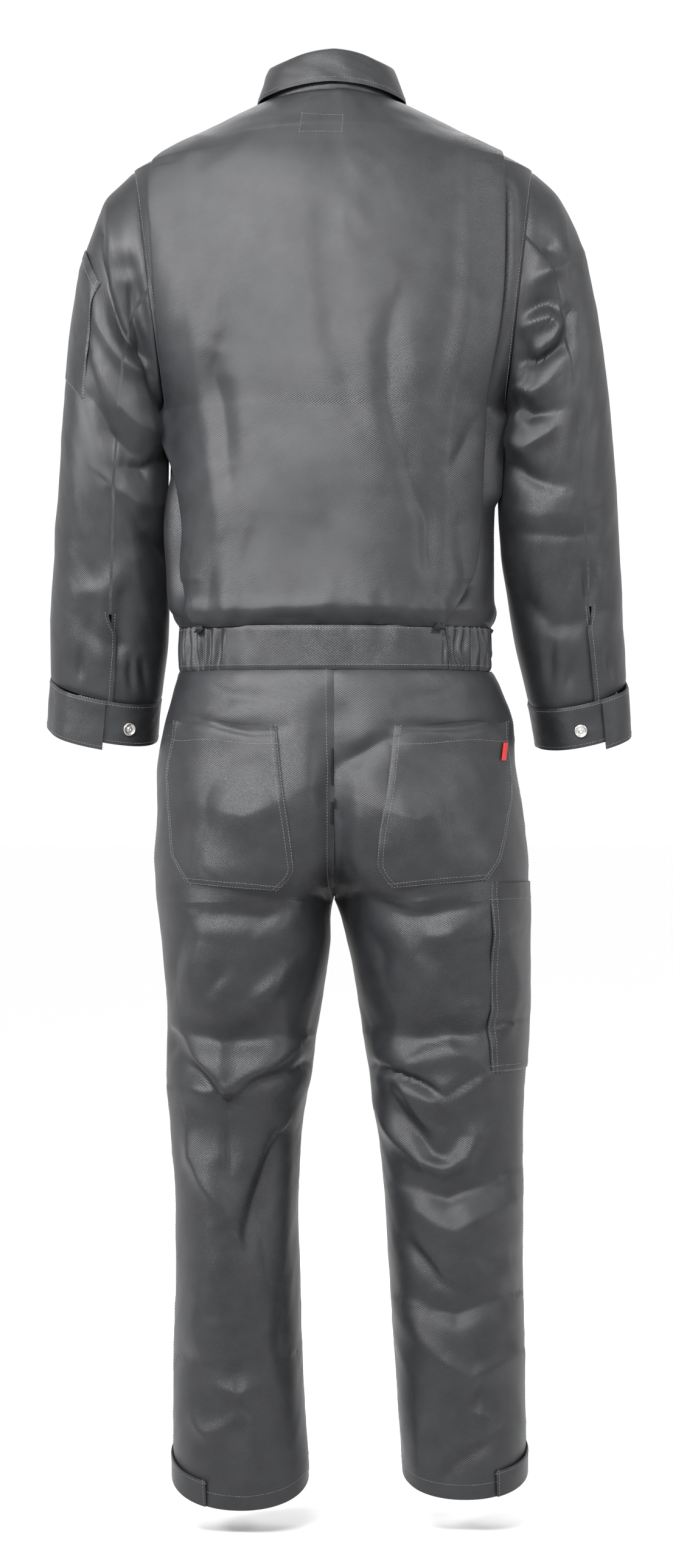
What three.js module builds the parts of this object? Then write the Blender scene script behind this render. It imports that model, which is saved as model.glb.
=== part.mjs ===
// Boiler suit, hollow, filled out as if worn. Millimetres, +Z up.
// The back of the garment faces +Y, the front -Y, the wearer's left is +X.
// The origin is on the shoulder line, between the two neck points.
import * as THREE from 'three';

// Cloth and seams
const CLOTH = 2.0;
const BAND_CLOTH = 2.6;
const SEAM_GAP = 0.3;
const LAY_GAP = 0.8;

// Levels of the main seams
const WAIST_SEAM = -594;
const BAND_SEAM = -643;
const UNDERARM = -350;
const SHOULDER_TIP = -77;

const HALF_TURN = Math.PI;
const DEGREE = Math.PI / 180;

// Finishes
const cloth = () => new THREE.MeshStandardMaterial({ color: 0x3a3a3d, roughness: 0.62, metalness: 0 });
const metal = () => new THREE.MeshStandardMaterial({ color: 0xb4b4b2, roughness: 0.28, metalness: 1 });
const redCloth = () => new THREE.MeshStandardMaterial({ color: 0x9c1c20, roughness: 0.7, metalness: 0 });

// Side seams of the bodice by level, and its outline on each side
const BODICE_SIDES = [
  { z: -594, left: 175.5, right: 178 },
  { z: -583, left: 180, right: 180 },
  { z: -560, left: 183, right: 181 },
  { z: -520, left: 185.5, right: 181.5 },
  { z: -470, left: 186.5, right: 182 },
  { z: -420, left: 186, right: 184.5 },
  { z: -385, left: 185.5, right: 186 },
  { z: -350, left: 190, right: 192 },
];

// Centre lines of the bodice. A row of 0 is the waist seam, 1 the underarm, 2 the shoulder tip and 3 the neckline
const BODICE_CENTRES = [
  { row: 0.0, backZ: -594, back: 124, frontZ: -594, front: 133 },
  { row: 0.05, backZ: -582, back: 132, frontZ: -582, front: 140 },
  { row: 0.12, backZ: -565, back: 136, frontZ: -565, front: 145 },
  { row: 0.35, backZ: -509, back: 137, frontZ: -509, front: 148 },
  { row: 0.7, backZ: -423, back: 139, frontZ: -423, front: 151 },
  { row: 1.0, backZ: -350, back: 138, frontZ: -350, front: 150 },
  { row: 1.3, backZ: -297, back: 137, frontZ: -305, front: 146 },
  { row: 1.55, backZ: -195, back: 130, frontZ: -225, front: 134 },
  { row: 1.8, backZ: -95, back: 113, frontZ: -152, front: 113 },
  { row: 2.0, backZ: -52, back: 98, frontZ: -125, front: 101 },
  { row: 2.5, backZ: -18, back: 79, frontZ: -99, front: 88 },
  { row: 3.0, backZ: 10, back: 62, frontZ: -75, front: 77 },
];

// Each armhole is a flat oval, from the underarm up to the shoulder tip
const ARMHOLES = {
  left: { side: 1, topX: 226, lowX: 190, half: 77 },
  right: { side: -1, topX: 224, lowX: 192, half: 77 },
};
const NECK_POINTS = { left: 77, right: 71 };
const BODY_SHAPE = 2.3;
const ARM_SHAPE = 2.15;

// Sleeves: outer line, inner line, centre depth, half depth and how far the back of the ring hangs
const SLEEVES = {
  left: [
    { share: 0.08, outX: 256, outZ: -109, inX: 194, inZ: -364, y: 0, half: 77, hang: 0 },
    { share: 0.2, outX: 280, outZ: -166, inX: 189.5, inZ: -382, y: 1, half: 74, hang: 2 },
    { share: 0.32, outX: 292, outZ: -226, inX: 188.5, inZ: -404, y: 2, half: 70, hang: 3 },
    { share: 0.44, outX: 301, outZ: -292, inX: 189, inZ: -432, y: 2, half: 66, hang: 4 },
    { share: 0.56, outX: 308, outZ: -362, inX: 189.5, inZ: -462, y: 0, half: 63, hang: 5 },
    { share: 0.68, outX: 313, outZ: -434, inX: 189, inZ: -503, y: -8, half: 62, hang: 7 },
    { share: 0.8, outX: 319, outZ: -510, inX: 187.5, inZ: -553, y: -20, half: 62, hang: 9 },
    { share: 0.9, outX: 323, outZ: -580, inX: 189, inZ: -610, y: -32, half: 62, hang: 12 },
    { share: 1.0, outX: 324, outZ: -648, inX: 197, inZ: -672, y: -44, half: 58, hang: 15 },
    { share: 1.1, outX: 328, outZ: -703, inX: 202, inZ: -727, y: -50, half: 56, hang: 15 },
  ],
  right: [
    { share: 0.08, outX: 256, outZ: -107, inX: 195, inZ: -365, y: 0, half: 77, hang: 0 },
    { share: 0.2, outX: 281, outZ: -164, inX: 190, inZ: -386, y: 1, half: 74, hang: 2 },
    { share: 0.32, outX: 294, outZ: -220, inX: 188.5, inZ: -408, y: 2, half: 70, hang: 3 },
    { share: 0.44, outX: 305, outZ: -285, inX: 187, inZ: -436, y: 2, half: 66, hang: 4 },
    { share: 0.56, outX: 314, outZ: -358, inX: 188, inZ: -470, y: 0, half: 63, hang: 5 },
    { share: 0.68, outX: 320, outZ: -432, inX: 189.5, inZ: -512, y: -8, half: 62, hang: 7 },
    { share: 0.8, outX: 325, outZ: -508, inX: 197, inZ: -556, y: -20, half: 61, hang: 9 },
    { share: 0.9, outX: 330, outZ: -580, inX: 206, inZ: -610, y: -32, half: 60, hang: 12 },
    { share: 1.0, outX: 334, outZ: -653, inX: 222, inZ: -677, y: -44, half: 56, hang: 15 },
    { share: 1.1, outX: 338, outZ: -709, inX: 231, inZ: -732, y: -50, half: 54, hang: 15 },
  ],
};
const SLIT = { from: 0.86, halfWidth: 1.2, left: 92, right: 68 };

// Trousers: outer line, inner line (under the other side above the crotch), depths and how far the back hangs
const LEGS = {
  left: [
    { z: -643, out: 176, in: -176, back: 124, front: 133, hang: 0 },
    { z: -660, out: 180, in: -180, back: 130, front: 135, hang: 0 },
    { z: -700, out: 192, in: -190, back: 138, front: 136, hang: 0 },
    { z: -750, out: 201, in: -180, back: 144, front: 134, hang: 0 },
    { z: -800, out: 201, in: -140, back: 145, front: 130, hang: 0 },
    { z: -850, out: 203, in: -75, back: 140, front: 122, hang: 0 },
    { z: -885, out: 202, in: -20, back: 132, front: 116, hang: 0 },
    { z: -901, out: 201, in: 0.6, back: 127, front: 113, hang: 0 },
    { z: -950, out: 195, in: 4, back: 117, front: 108, hang: 0 },
    { z: -1020, out: 190, in: 14, back: 104, front: 100, hang: 0 },
    { z: -1089, out: 190, in: 25, back: 90, front: 92, hang: 2 },
    { z: -1150, out: 185, in: 35, back: 80, front: 86, hang: 4 },
    { z: -1230, out: 180, in: 40, back: 82, front: 76, hang: 8 },
    { z: -1320, out: 179, in: 38, back: 82, front: 70, hang: 14 },
    { z: -1430, out: 182, in: 35, back: 74, front: 66, hang: 22 },
    { z: -1550, out: 181, in: 28, back: 66, front: 64, hang: 33 },
  ],
  right: [
    { z: -643, out: 180, in: -180, back: 124, front: 133, hang: 0 },
    { z: -660, out: 188, in: -186, back: 130, front: 135, hang: 0 },
    { z: -700, out: 202, in: -194, back: 138, front: 136, hang: 0 },
    { z: -750, out: 206, in: -184, back: 144, front: 134, hang: 0 },
    { z: -800, out: 213, in: -142, back: 145, front: 130, hang: 0 },
    { z: -850, out: 219, in: -72, back: 140, front: 122, hang: 0 },
    { z: -885, out: 220, in: -18, back: 132, front: 116, hang: 0 },
    { z: -901, out: 221, in: 0.6, back: 127, front: 113, hang: 0 },
    { z: -950, out: 220, in: 15, back: 117, front: 108, hang: 0 },
    { z: -1020, out: 219, in: 28, back: 104, front: 100, hang: 0 },
    { z: -1089, out: 217, in: 39, back: 90, front: 92, hang: 2 },
    { z: -1150, out: 215, in: 48, back: 80, front: 86, hang: 4 },
    { z: -1230, out: 215, in: 57, back: 82, front: 76, hang: 8 },
    { z: -1320, out: 215, in: 62, back: 82, front: 70, hang: 12 },
    { z: -1430, out: 217, in: 69, back: 74, front: 66, hang: 18 },
    { z: -1545, out: 217, in: 77, back: 66, front: 64, hang: 26 },
  ],
};
const LEG_SHAPE = 2.15;
const LEG_COLUMNS = 10;

// Main folds on the back, each a soft line of points (x, z) with its half width and its height, negative for a trough
const BODICE_FOLDS = [
  { line: [93, -146, 117, -169, 135, -235, 141, -270], width: 14, height: 4 },
  { line: [132, -270, 135, -309, 124, -375, 119, -420], width: 13, height: -4 },
  { line: [17, -153, -10, -304, -21, -344], width: 14, height: -3 },
  { line: [-67, -225, -60, -322, -83, -412, -103, -475, -113, -573], width: 13, height: -5 },
  { line: [-159, -235, -135, -322, -122, -388], width: 15, height: 4 },
  { line: [-152, -364, -130, -412], width: 10, height: -3 },
];
const LEG_FOLDS = [
  { line: [14, -905, 76, -935], width: 13, height: 4 },
  { line: [54, -976, 93, -1023], width: 12, height: 5 },
  { line: [135, -998, 122, -1105], width: 14, height: 4 },
  { line: [183, -1052, 122, -1108, 45, -1066], width: 13, height: 6 },
  { line: [185, -1074, 122, -1136, 41, -1092], width: 11, height: -6 },
  { line: [168, -1159, 162, -1195, 118, -1259], width: 12, height: 5 },
  { line: [59, -1171, 76, -1215, 93, -1261, 107, -1292], width: 12, height: -5 },
  { line: [161, -1492, 145, -1509, 117, -1497], width: 12, height: 3 },
  { line: [95, -1490, 97, -1590], width: 11, height: 3 },
  { line: [-112, -941, -171, -912], width: 13, height: 4 },
  { line: [-60, -1070, -105, -1092, -123, -1104, -155, -1080], width: 13, height: 5 },
  { line: [-43, -1090, -92, -1112, -123, -1124, -165, -1102], width: 11, height: -6 },
  { line: [-52, -1140, -75, -1176, -100, -1198, -124, -1205, -152, -1195, -166, -1171], width: 12, height: 5 },
  { line: [-95, -1256, -141, -1277, -197, -1245], width: 13, height: 4 },
  { line: [-81, -1290, -117, -1333, -150, -1350], width: 12, height: -4 },
  { line: [-86, -1369, -119, -1423, -155, -1445, -205, -1417], width: 13, height: 4 },
  { line: [-184, -1505, -159, -1528, -131, -1547], width: 12, height: -3 },
];
const SLEEVE_FOLDS = [
  { line: [249, -130, 243, -190, 236, -259], width: 13, height: -6 },
  { line: [-208, -262, -235, -280, -255, -262], width: 13, height: -5 },
  { line: [-204, -232, -237, -244, -262, -262], width: 12, height: 4 },
  { line: [226, -406, 260, -415], width: 12, height: -5 },
  { line: [-284, -171, -280, -330, -304, -502], width: 14, height: 3 },
];

// Action pleats: the folded edge of the centre back panel, by level
const PLEAT_EDGES = [
  { z: -598, left: 150, right: 118 },
  { z: -540, left: 166, right: 152 },
  { z: -480, left: 166, right: 160 },
  { z: -400, left: 178, right: 163 },
  { z: -330, left: 188, right: 168 },
  { z: -240, left: 196, right: 184 },
  { z: -155, left: 202, right: 188 },
  { z: -85, left: 204, right: 188 },
  { z: -57, left: 188, right: 186 },
];
const PLEAT_UNDER = 34;
const PLEAT_RAMP = 24;
const PLEAT_LIFT = CLOTH + 1.2;
const PLEAT_FLARE = 2.0;
const PLEAT_TOP = 2.27;
const STRIP_TOP_SINK = 1.2;

// Number helpers
const lerp = (a, b, t) => a + (b - a) * t;
const clamp = (v, low, high) => Math.min(high, Math.max(low, v));
const smooth = (t) => { const s = clamp(t, 0, 1); return s * s * (3 - 2 * s); };
const signPow = (v, p) => Math.sign(v) * Math.abs(v) ** p;
const spread = (from, to, count) => Array.from({ length: count + 1 }, (_, i) => lerp(from, to, i / count));

// A smooth curve through one column of a table
function column(rows, key, name, at) {
  const rising = rows[rows.length - 1][key] > rows[0][key];
  const ordered = rising ? rows : [...rows].reverse();
  const x = clamp(at, ordered[0][key], ordered[ordered.length - 1][key]);
  let i = 0;
  while (i < ordered.length - 2 && x > ordered[i + 1][key]) i += 1;
  const slope = (k) => {
    const a = ordered[Math.max(k - 1, 0)];
    const b = ordered[Math.min(k + 1, ordered.length - 1)];
    return (b[name] - a[name]) / (b[key] - a[key]);
  };
  const [p, q] = [ordered[i], ordered[i + 1]];
  const h = q[key] - p[key];
  const t = (x - p[key]) / h;
  const [t2, t3] = [t * t, t * t * t];
  return (2 * t3 - 3 * t2 + 1) * p[name] + (t3 - 2 * t2 + t) * h * slope(i)
    + (3 * t2 - 2 * t3) * q[name] + (t3 - t2) * h * slope(i + 1);
}

// How far the folds lift a point of the back
function foldLift(folds, x, z) {
  let lift = 0;
  for (const fold of folds) {
    let nearest = Infinity;
    let along = 0;
    const parts = fold.line.length / 2 - 1;
    for (let i = 0; i < parts; i += 1) {
      const [ax, az, bx, bz] = fold.line.slice(2 * i, 2 * i + 4);
      const [dx, dz] = [bx - ax, bz - az];
      const t = clamp(((x - ax) * dx + (z - az) * dz) / (dx * dx + dz * dz), 0, 1);
      const d = Math.hypot(x - ax - dx * t, z - az - dz * t);
      if (d < nearest) {
        nearest = d;
        along = (i + t) / parts;
      }
    }
    const fade = 0.35 + 0.65 * Math.sin(HALF_TURN * clamp(along, 0.08, 0.92));
    lift += fold.height * fade * Math.exp(-((nearest / fold.width) ** 2));
  }
  return lift;
}

// The armhole: turn 0 is the shoulder tip, 90 the back, 180 the underarm and 270 the front
function armholePoint(name, turn) {
  const hole = ARMHOLES[name];
  const up = signPow(Math.cos(turn), 2 / ARM_SHAPE);
  const back = signPow(Math.sin(turn), 2 / ARM_SHAPE);
  const x = lerp(hole.lowX, hole.topX, (up + 1) / 2);
  const z = lerp(UNDERARM, SHOULDER_TIP, (up + 1) / 2);
  return new THREE.Vector3(hole.side * x, hole.half * back, z);
}

function armholePlane(name) {
  const hole = ARMHOLES[name];
  return new THREE.Vector3(hole.side * (SHOULDER_TIP - UNDERARM), 0, hole.lowX - hole.topX).normalize();
}

function armholeOut(name, turn) {
  const step = 0.02;
  const along = armholePoint(name, turn + step).sub(armholePoint(name, turn - step));
  return along.cross(armholePlane(name)).multiplyScalar(-ARMHOLES[name].side).normalize();
}

// Where a row of the bodice ends: the side seam, the armhole or the shoulder seam
function bodiceEdge(name, row, facing) {
  const side = ARMHOLES[name].side;
  if (row <= 1) {
    const z = lerp(WAIST_SEAM, UNDERARM, row);
    return new THREE.Vector3(side * column(BODICE_SIDES, 'z', name, z), 0, z);
  }
  if (row <= 2) return armholePoint(name, facing * HALF_TURN * (2 - row));
  const t = row - 2;
  const x = lerp(ARMHOLES[name].topX, NECK_POINTS[name], t);
  return new THREE.Vector3(side * x, 0, SHOULDER_TIP * (1 - t) ** 1.08);
}

// A point of the bodice: facing 1 is the back and -1 the front, angle 0 the centre line
function bodiceRow(name, row, facing) {
  const edge = bodiceEdge(name, row, facing);
  const depth = column(BODICE_CENTRES, 'row', facing > 0 ? 'back' : 'front', row);
  const level = column(BODICE_CENTRES, 'row', facing > 0 ? 'backZ' : 'frontZ', row);
  const cut = clamp(Math.abs(edge.y) / depth, 0, 0.95) ** BODY_SHAPE;
  const reach = Math.abs(edge.x) / (1 - cut) ** (1 / BODY_SHAPE);
  const end = Math.asin(clamp(Math.abs(edge.x) / reach, 0, 1) ** (BODY_SHAPE / 2));
  return { edge, depth, level, reach, end, side: ARMHOLES[name].side, facing };
}

function bodiceBase(ring, angle) {
  const x = ring.reach * Math.abs(Math.sin(angle)) ** (2 / BODY_SHAPE);
  const y = ring.depth * Math.max(Math.cos(angle), 0) ** (2 / BODY_SHAPE);
  const share = clamp(x / Math.abs(ring.edge.x), 0, 1);
  return new THREE.Vector3(ring.side * x, ring.facing * y, lerp(ring.level, ring.edge.z, share ** 2));
}

function angleAtX(ring, x) {
  return Math.min(Math.asin(clamp(Math.abs(x) / ring.reach, 0, 1) ** (BODY_SHAPE / 2)), ring.end);
}

// A surface with its fold lift, and the way out of it, from small steps along it
function framed(base, u, v, lift, steps) {
  const out = (a, b) => {
    const du = base(a + steps[0], b).sub(base(a - steps[0], b));
    const dv = base(a, b + steps[1]).sub(base(a, b - steps[1]));
    return du.cross(dv).normalize();
  };
  const normal = out(u, v);
  const point = base(u, v);
  return { point: point.clone().addScaledVector(normal, lift(point)), normal };
}

// A closed wall between a grid of outer points and the same points moved in
function wall(name, material, grid, options = {}) {
  const { closed = false, keep = () => true, thickness = CLOTH } = options;
  const rows = grid.length;
  const columns = grid[0].length;
  const across = closed ? columns : columns - 1;
  const kept = (i, j) => {
    if (i < 0 || i >= rows - 1) return false;
    if (!closed && (j < 0 || j >= across)) return false;
    return keep(i, (j + across) % across);
  };
  const positions = [];
  const index = new Map();
  const vertex = (i, j, layer) => {
    const c = j % columns;
    const key = `${i},${c},${layer}`;
    if (!index.has(key)) {
      const { point, normal, thick } = grid[i][c];
      const p = point.clone().addScaledVector(normal, layer ? -(thick ?? thickness) : 0);
      index.set(key, positions.length / 3);
      positions.push(p.x, p.y, p.z);
    }
    return index.get(key);
  };
  const faces = [];
  const quad = (a, b, c, d) => faces.push(a, b, c, a, c, d);
  for (let i = 0; i < rows - 1; i += 1) {
    for (let j = 0; j < across; j += 1) {
      if (kept(i, j)) {
        const corners = [[i, j], [i, j + 1], [i + 1, j + 1], [i + 1, j]];
        const outer = corners.map(([r, c]) => vertex(r, c, 0));
        const inner = corners.map(([r, c]) => vertex(r, c, 1));
        quad(...outer);
        quad(...[...inner].reverse());
        const beside = [kept(i - 1, j), kept(i, j + 1), kept(i + 1, j), kept(i, j - 1)];
        for (let k = 0; k < 4; k += 1) {
          const n = (k + 1) % 4;
          if (!beside[k]) quad(outer[n], outer[k], inner[k], inner[n]);
        }
      }
    }
  }
  return solid(name, material, positions, faces);
}

// A mesh whose faces point out, whichever way its grid ran
function solid(name, material, positions, faces) {
  let volume = 0;
  const corner = (k) => new THREE.Vector3().fromArray(positions, 3 * k);
  for (let f = 0; f < faces.length; f += 3) {
    volume += corner(faces[f]).dot(corner(faces[f + 1]).cross(corner(faces[f + 2])));
  }
  if (volume < 0) {
    for (let f = 0; f < faces.length; f += 3) [faces[f], faces[f + 1]] = [faces[f + 1], faces[f]];
  }
  const geometry = new THREE.BufferGeometry();
  geometry.setAttribute('position', new THREE.Float32BufferAttribute(positions, 3));
  geometry.setIndex(faces);
  geometry.computeVertexNormals();
  const mesh = new THREE.Mesh(geometry, material);
  mesh.name = name;
  return mesh;
}

// Lays an edge of a wall in its seam's plane, half a gap from it
function seat(cell, plane, shift) {
  const flat = plane.clone().normalize();
  cell.normal.addScaledVector(flat, -cell.normal.dot(flat)).normalize();
  cell.point.addScaledVector(flat, shift);
}
const ALONG_X = new THREE.Vector3(1, 0, 0);
const ALONG_Y = new THREE.Vector3(0, 1, 0);
const ALONG_Z = new THREE.Vector3(0, 0, 1);

const BODICE_ROWS = [0, 0.05, 0.12, 0.24, 0.38, 0.52, 0.66, 0.8, 0.91, 1,
  1.14, 1.28, 1.42, 1.56, 1.7, 1.84, 2, 2.27, 2.6, 3];

// One cell of the bodice at a row and a signed angle, which is positive to the left
function bodiceCell(row, angle, facing, extra = () => 0) {
  const name = angle >= 0 ? 'left' : 'right';
  const base = (r, a) => bodiceBase(bodiceRow(name, clamp(r, 0, 3), facing), Math.abs(a));
  const near = Math.max(Math.abs(angle), 0.05);
  const folds = facing > 0 ? BODICE_FOLDS : [];
  const lift = (p) => foldLift(folds, p.x, p.z) * smooth((WAIST_SEAM - p.z) / -30) + extra(p);
  const cell = framed(base, row, near, lift, [0.02, 0.03]);
  const point = base(row, angle);
  const turned = cell.normal.clone();
  if (Math.sign(turned.y) !== facing && Math.abs(turned.y) > 0.2) turned.negate();
  if (Math.abs(turned.y) <= 0.2 && Math.sign(turned.x) !== Math.sign(point.x)) turned.negate();
  if (Math.abs(angle) < 0.05) turned.x *= Math.abs(angle) / 0.05;
  turned.normalize();
  return { point: point.clone().addScaledVector(turned, lift(point)), normal: turned };
}

function seatWaist(cell) {
  seat(cell, ALONG_Z, 0);
  cell.point.z = WAIST_SEAM + SEAM_GAP / 2;
}

function seatBodiceEdge(cell, name, row, facing, isEdge) {
  if (row === 0) seatWaist(cell);
  if (row === 3) cell.normal.setZ(0).normalize();
  if (!isEdge) return;
  if (row < 1 || row > 2) seat(cell, ALONG_Y, facing * SEAM_GAP / 2);
  if (row >= 1 && row <= 2) {
    const turn = facing * HALF_TURN * (2 - row);
    cell.point.copy(armholePoint(name, turn)).addScaledVector(armholePlane(name), -SEAM_GAP / 2);
    cell.normal.copy(armholeOut(name, turn));
    if (row === 1 || row === 2) cell.point.y += facing * SEAM_GAP / 2;
  }
}

const pleatEdge = (name, z) => column(PLEAT_EDGES, 'z', name, z);

// Columns of the centre back, from one folded edge to the other, as distances inside the edge and shares of the rest
const PLEAT_STEPS = [0, PLEAT_UNDER / 2, PLEAT_UNDER, PLEAT_UNDER + PLEAT_RAMP];
const CENTRE_SHARES = [0.72, 0.4, 0];

function centreColumns(ring, name, row) {
  const edge = row < PLEAT_TOP ? pleatEdge(name, ring.edge.z) : Math.abs(ring.edge.x);
  const inside = PLEAT_STEPS.map((step) => edge * (1 - step / pleatEdge(name, ring.edge.z)));
  const rest = CENTRE_SHARES.map((share) => share * inside[inside.length - 1]);
  return [...inside, ...rest].map((x) => angleAtX(ring, x));
}

// Centre back: its folded edges stand off the strips below them
function backCentre() {
  const grid = BODICE_ROWS.map((row) => {
    const half = (name) => {
      const ring = bodiceRow(name, row, 1);
      const edge = pleatEdge(name, ring.edge.z);
      const lifted = (p) => {
        const inside = edge - Math.abs(p.x);
        const start = smooth((PLEAT_UNDER + PLEAT_RAMP - inside) / PLEAT_RAMP);
        const flare = smooth((PLEAT_UNDER - inside) / PLEAT_UNDER) * (row > 0.2 && row < 1.9 ? 1 : 0.2);
        return (PLEAT_LIFT * start + PLEAT_FLARE * flare) * (1 - smooth((row - PLEAT_TOP) / 0.35));
      };
      return centreColumns(ring, name, row).map((angle, j) => {
        const cell = bodiceCell(row, ring.side * angle, 1, lifted);
        if (row === 0) seatWaist(cell);
        if (row === 3) cell.normal.setZ(0).normalize();
        if (row >= PLEAT_TOP && j === 0) seat(cell, ALONG_Y, SEAM_GAP / 2);
        return cell;
      });
    };
    return [...half('left'), ...half('right').reverse().slice(1)];
  });
  return wall('back_centre', cloth(), grid);
}

function backSide(name) {
  const side = ARMHOLES[name].side;
  const rows = BODICE_ROWS.filter((row) => row <= PLEAT_TOP);
  const grid = rows.map((row) => {
    const ring = bodiceRow(name, row, 1);
    const edge = pleatEdge(name, ring.edge.z);
    const under = [PLEAT_UNDER, PLEAT_UNDER / 2, 0].map((inside) => angleAtX(ring, edge - inside));
    const beyond = [0.5, 1].map((share) => lerp(under[2], ring.end, share));
    return [...under, ...beyond].map((angle, j) => {
      const cell = bodiceCell(row, side * angle, 1, () => (row === PLEAT_TOP ? -STRIP_TOP_SINK : 0));
      seatBodiceEdge(cell, name, row, 1, j === 4);
      return cell;
    });
  });
  return wall(`back_side_${name}`, cloth(), grid);
}

function front(name) {
  const side = ARMHOLES[name].side;
  const grid = BODICE_ROWS.map((row) => {
    const ring = bodiceRow(name, row, -1);
    return spread(0, 1, 8).map((share) => {
      const cell = bodiceCell(row, side * Math.max(ring.end * share, 1e-6), -1);
      seatBodiceEdge(cell, name, row, -1, share === 1);
      if (share === 0) seat(cell, ALONG_X, side * SEAM_GAP / 2);
      return cell;
    });
  });
  return wall(`front_${name}`, cloth(), grid);
}

// Sleeves
const SLEEVE_SHARES = [0, 0.04, 0.09, 0.16, 0.24, 0.32, 0.4, 0.48, 0.56, 0.64, 0.72, 0.79, 0.86, 0.93, 1];

function sleevePoint(name, share, turn) {
  const hole = ARMHOLES[name];
  const rows = [
    { share: 0, outX: hole.topX, outZ: SHOULDER_TIP, inX: hole.lowX, inZ: UNDERARM, y: 0, half: hole.half, hang: 0 },
    ...SLEEVES[name],
  ];
  const at = (key) => column(rows, 'share', key, share);
  const out = signPow(Math.cos(turn), 2 / ARM_SHAPE);
  const back = signPow(Math.sin(turn), 2 / ARM_SHAPE);
  const t = (out + 1) / 2;
  return new THREE.Vector3(
    hole.side * lerp(at('inX'), at('outX'), t),
    at('y') + at('half') * back,
    lerp(at('inZ'), at('outZ'), t) - at('hang') * back,
  );
}

function sleeveCell(name, share, turn, extra = 0) {
  const base = (s, a) => sleevePoint(name, s, a);
  const safe = clamp(share, 0.02, 1.08);
  const side = ARMHOLES[name].side;
  const cell = framed(base, safe, turn, () => 0, [0.02, 0.06]);
  const normal = cell.normal.multiplyScalar(side);
  const point = base(share, turn);
  const onBack = smooth((Math.sin(turn) - 0.1) * 3);
  const inside = smooth(share / 0.1) * smooth((1 - share) / 0.08);
  const fold = foldLift(SLEEVE_FOLDS, point.x, point.z) * onBack * inside;
  return { point: point.addScaledVector(normal, fold + extra), normal };
}

function sleevePlane(name, share) {
  const a = sleevePoint(name, share, 0);
  const b = sleevePoint(name, share, HALF_TURN);
  const c = sleevePoint(name, share, HALF_TURN / 2);
  return a.clone().sub(b).cross(c.sub(b)).multiplyScalar(ARMHOLES[name].side).normalize();
}

function sleeveTurns(name) {
  const middle = SLIT[name];
  const around = spread(middle, middle + 360, 18).slice(1, -1);
  return [middle + SLIT.halfWidth, ...around, middle + 360 - SLIT.halfWidth].map((t) => t * DEGREE);
}

function sleeve(name) {
  const turns = sleeveTurns(name);
  const plane = sleevePlane(name, 1);
  const grid = SLEEVE_SHARES.map((share) => turns.map((turn) => {
    const cell = sleeveCell(name, share, turn);
    if (share === 0) {
      cell.point.addScaledVector(armholePlane(name), SEAM_GAP / 2);
      cell.normal.copy(armholeOut(name, turn));
    }
    if (share === 1) seat(cell, plane, SEAM_GAP / 2 * Math.sign(plane.z));
    return cell;
  }));
  const last = turns.length - 1;
  const keep = (i, j) => j !== last || SLEEVE_SHARES[i + 1] <= SLIT.from;
  return wall(`sleeve_${name}`, cloth(), grid, { closed: true, keep });
}

// Cuffs: a band whose inner-arm end laps over the other end
const CUFF = { lap: 26, lift: BAND_CLOTH + 0.7, ease: 38, stand: 0.6, thickness: BAND_CLOTH };

function cuffCell(name, share, degrees, extra = 0) {
  const over = degrees - SLIT[name];
  const lift = CUFF.lift * (1 - smooth((over - CUFF.lap - 6) / CUFF.ease));
  return sleeveCell(name, share, degrees * DEGREE, CUFF.stand + (over < 200 ? lift : 0) + extra);
}

function cuff(name) {
  const from = SLIT[name];
  const plane = sleevePlane(name, 1);
  const down = -Math.sign(plane.z);
  const degrees = spread(from, from + 360 + CUFF.lap, 26);
  const grid = [1, 1.05, 1.1].map((share) => degrees.map((degree) => {
    const cell = cuffCell(name, share, degree);
    cell.normal.addScaledVector(plane, -cell.normal.dot(plane)).normalize();
    if (share === 1) cell.point.addScaledVector(plane, down * SEAM_GAP / 2);
    return cell;
  }));
  return wall(`cuff_${name}`, cloth(), grid, { thickness: CUFF.thickness });
}

// Snap fasteners
const SNAP = { radius: 7.5, height: 2.6, rim: 1.5, well: 1.2, post: 2.6, inset: 24, seat: 0.5 };

function snap(name) {
  const outline = [
    [0, 0], [SNAP.radius - 0.8, 0], [SNAP.radius, 0.8], [SNAP.radius - 0.6, SNAP.height],
    [SNAP.radius - SNAP.rim, SNAP.height], [SNAP.radius - SNAP.rim - 1, SNAP.well],
    [SNAP.post, SNAP.well], [SNAP.post - 0.6, SNAP.height], [0, SNAP.height],
  ].map(([r, h]) => new THREE.Vector2(r, h));
  const cell = cuffCell(name, 1.05, SLIT[name] + SNAP.inset, SNAP.seat);
  const source = new THREE.LatheGeometry(outline, 16).toNonIndexed().getAttribute('position');
  const turn = new THREE.Quaternion().setFromUnitVectors(ALONG_Y, cell.normal);
  const merged = new Map();
  const positions = [];
  const faces = [];
  for (let t = 0; t < source.count; t += 3) {
    const corners = [0, 1, 2].map((k) => {
      const p = new THREE.Vector3().fromBufferAttribute(source, t + k);
      const key = [p.x, p.y, p.z].map((c) => Math.round(c * 1e4)).join();
      if (!merged.has(key)) {
        merged.set(key, positions.length / 3);
        p.applyQuaternion(turn).add(cell.point);
        positions.push(p.x, p.y, p.z);
      }
      return merged.get(key);
    });
    if (new Set(corners).size === 3) faces.push(...corners);
  }
  return solid(`snap_${name}`, metal(), positions, faces);
}

// Waistband, with a gathered stretch of elastic on each side of the back
const BAND_CENTRE = 120;
const ELASTIC = { waves: 7, depth: 1.7 };

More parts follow.
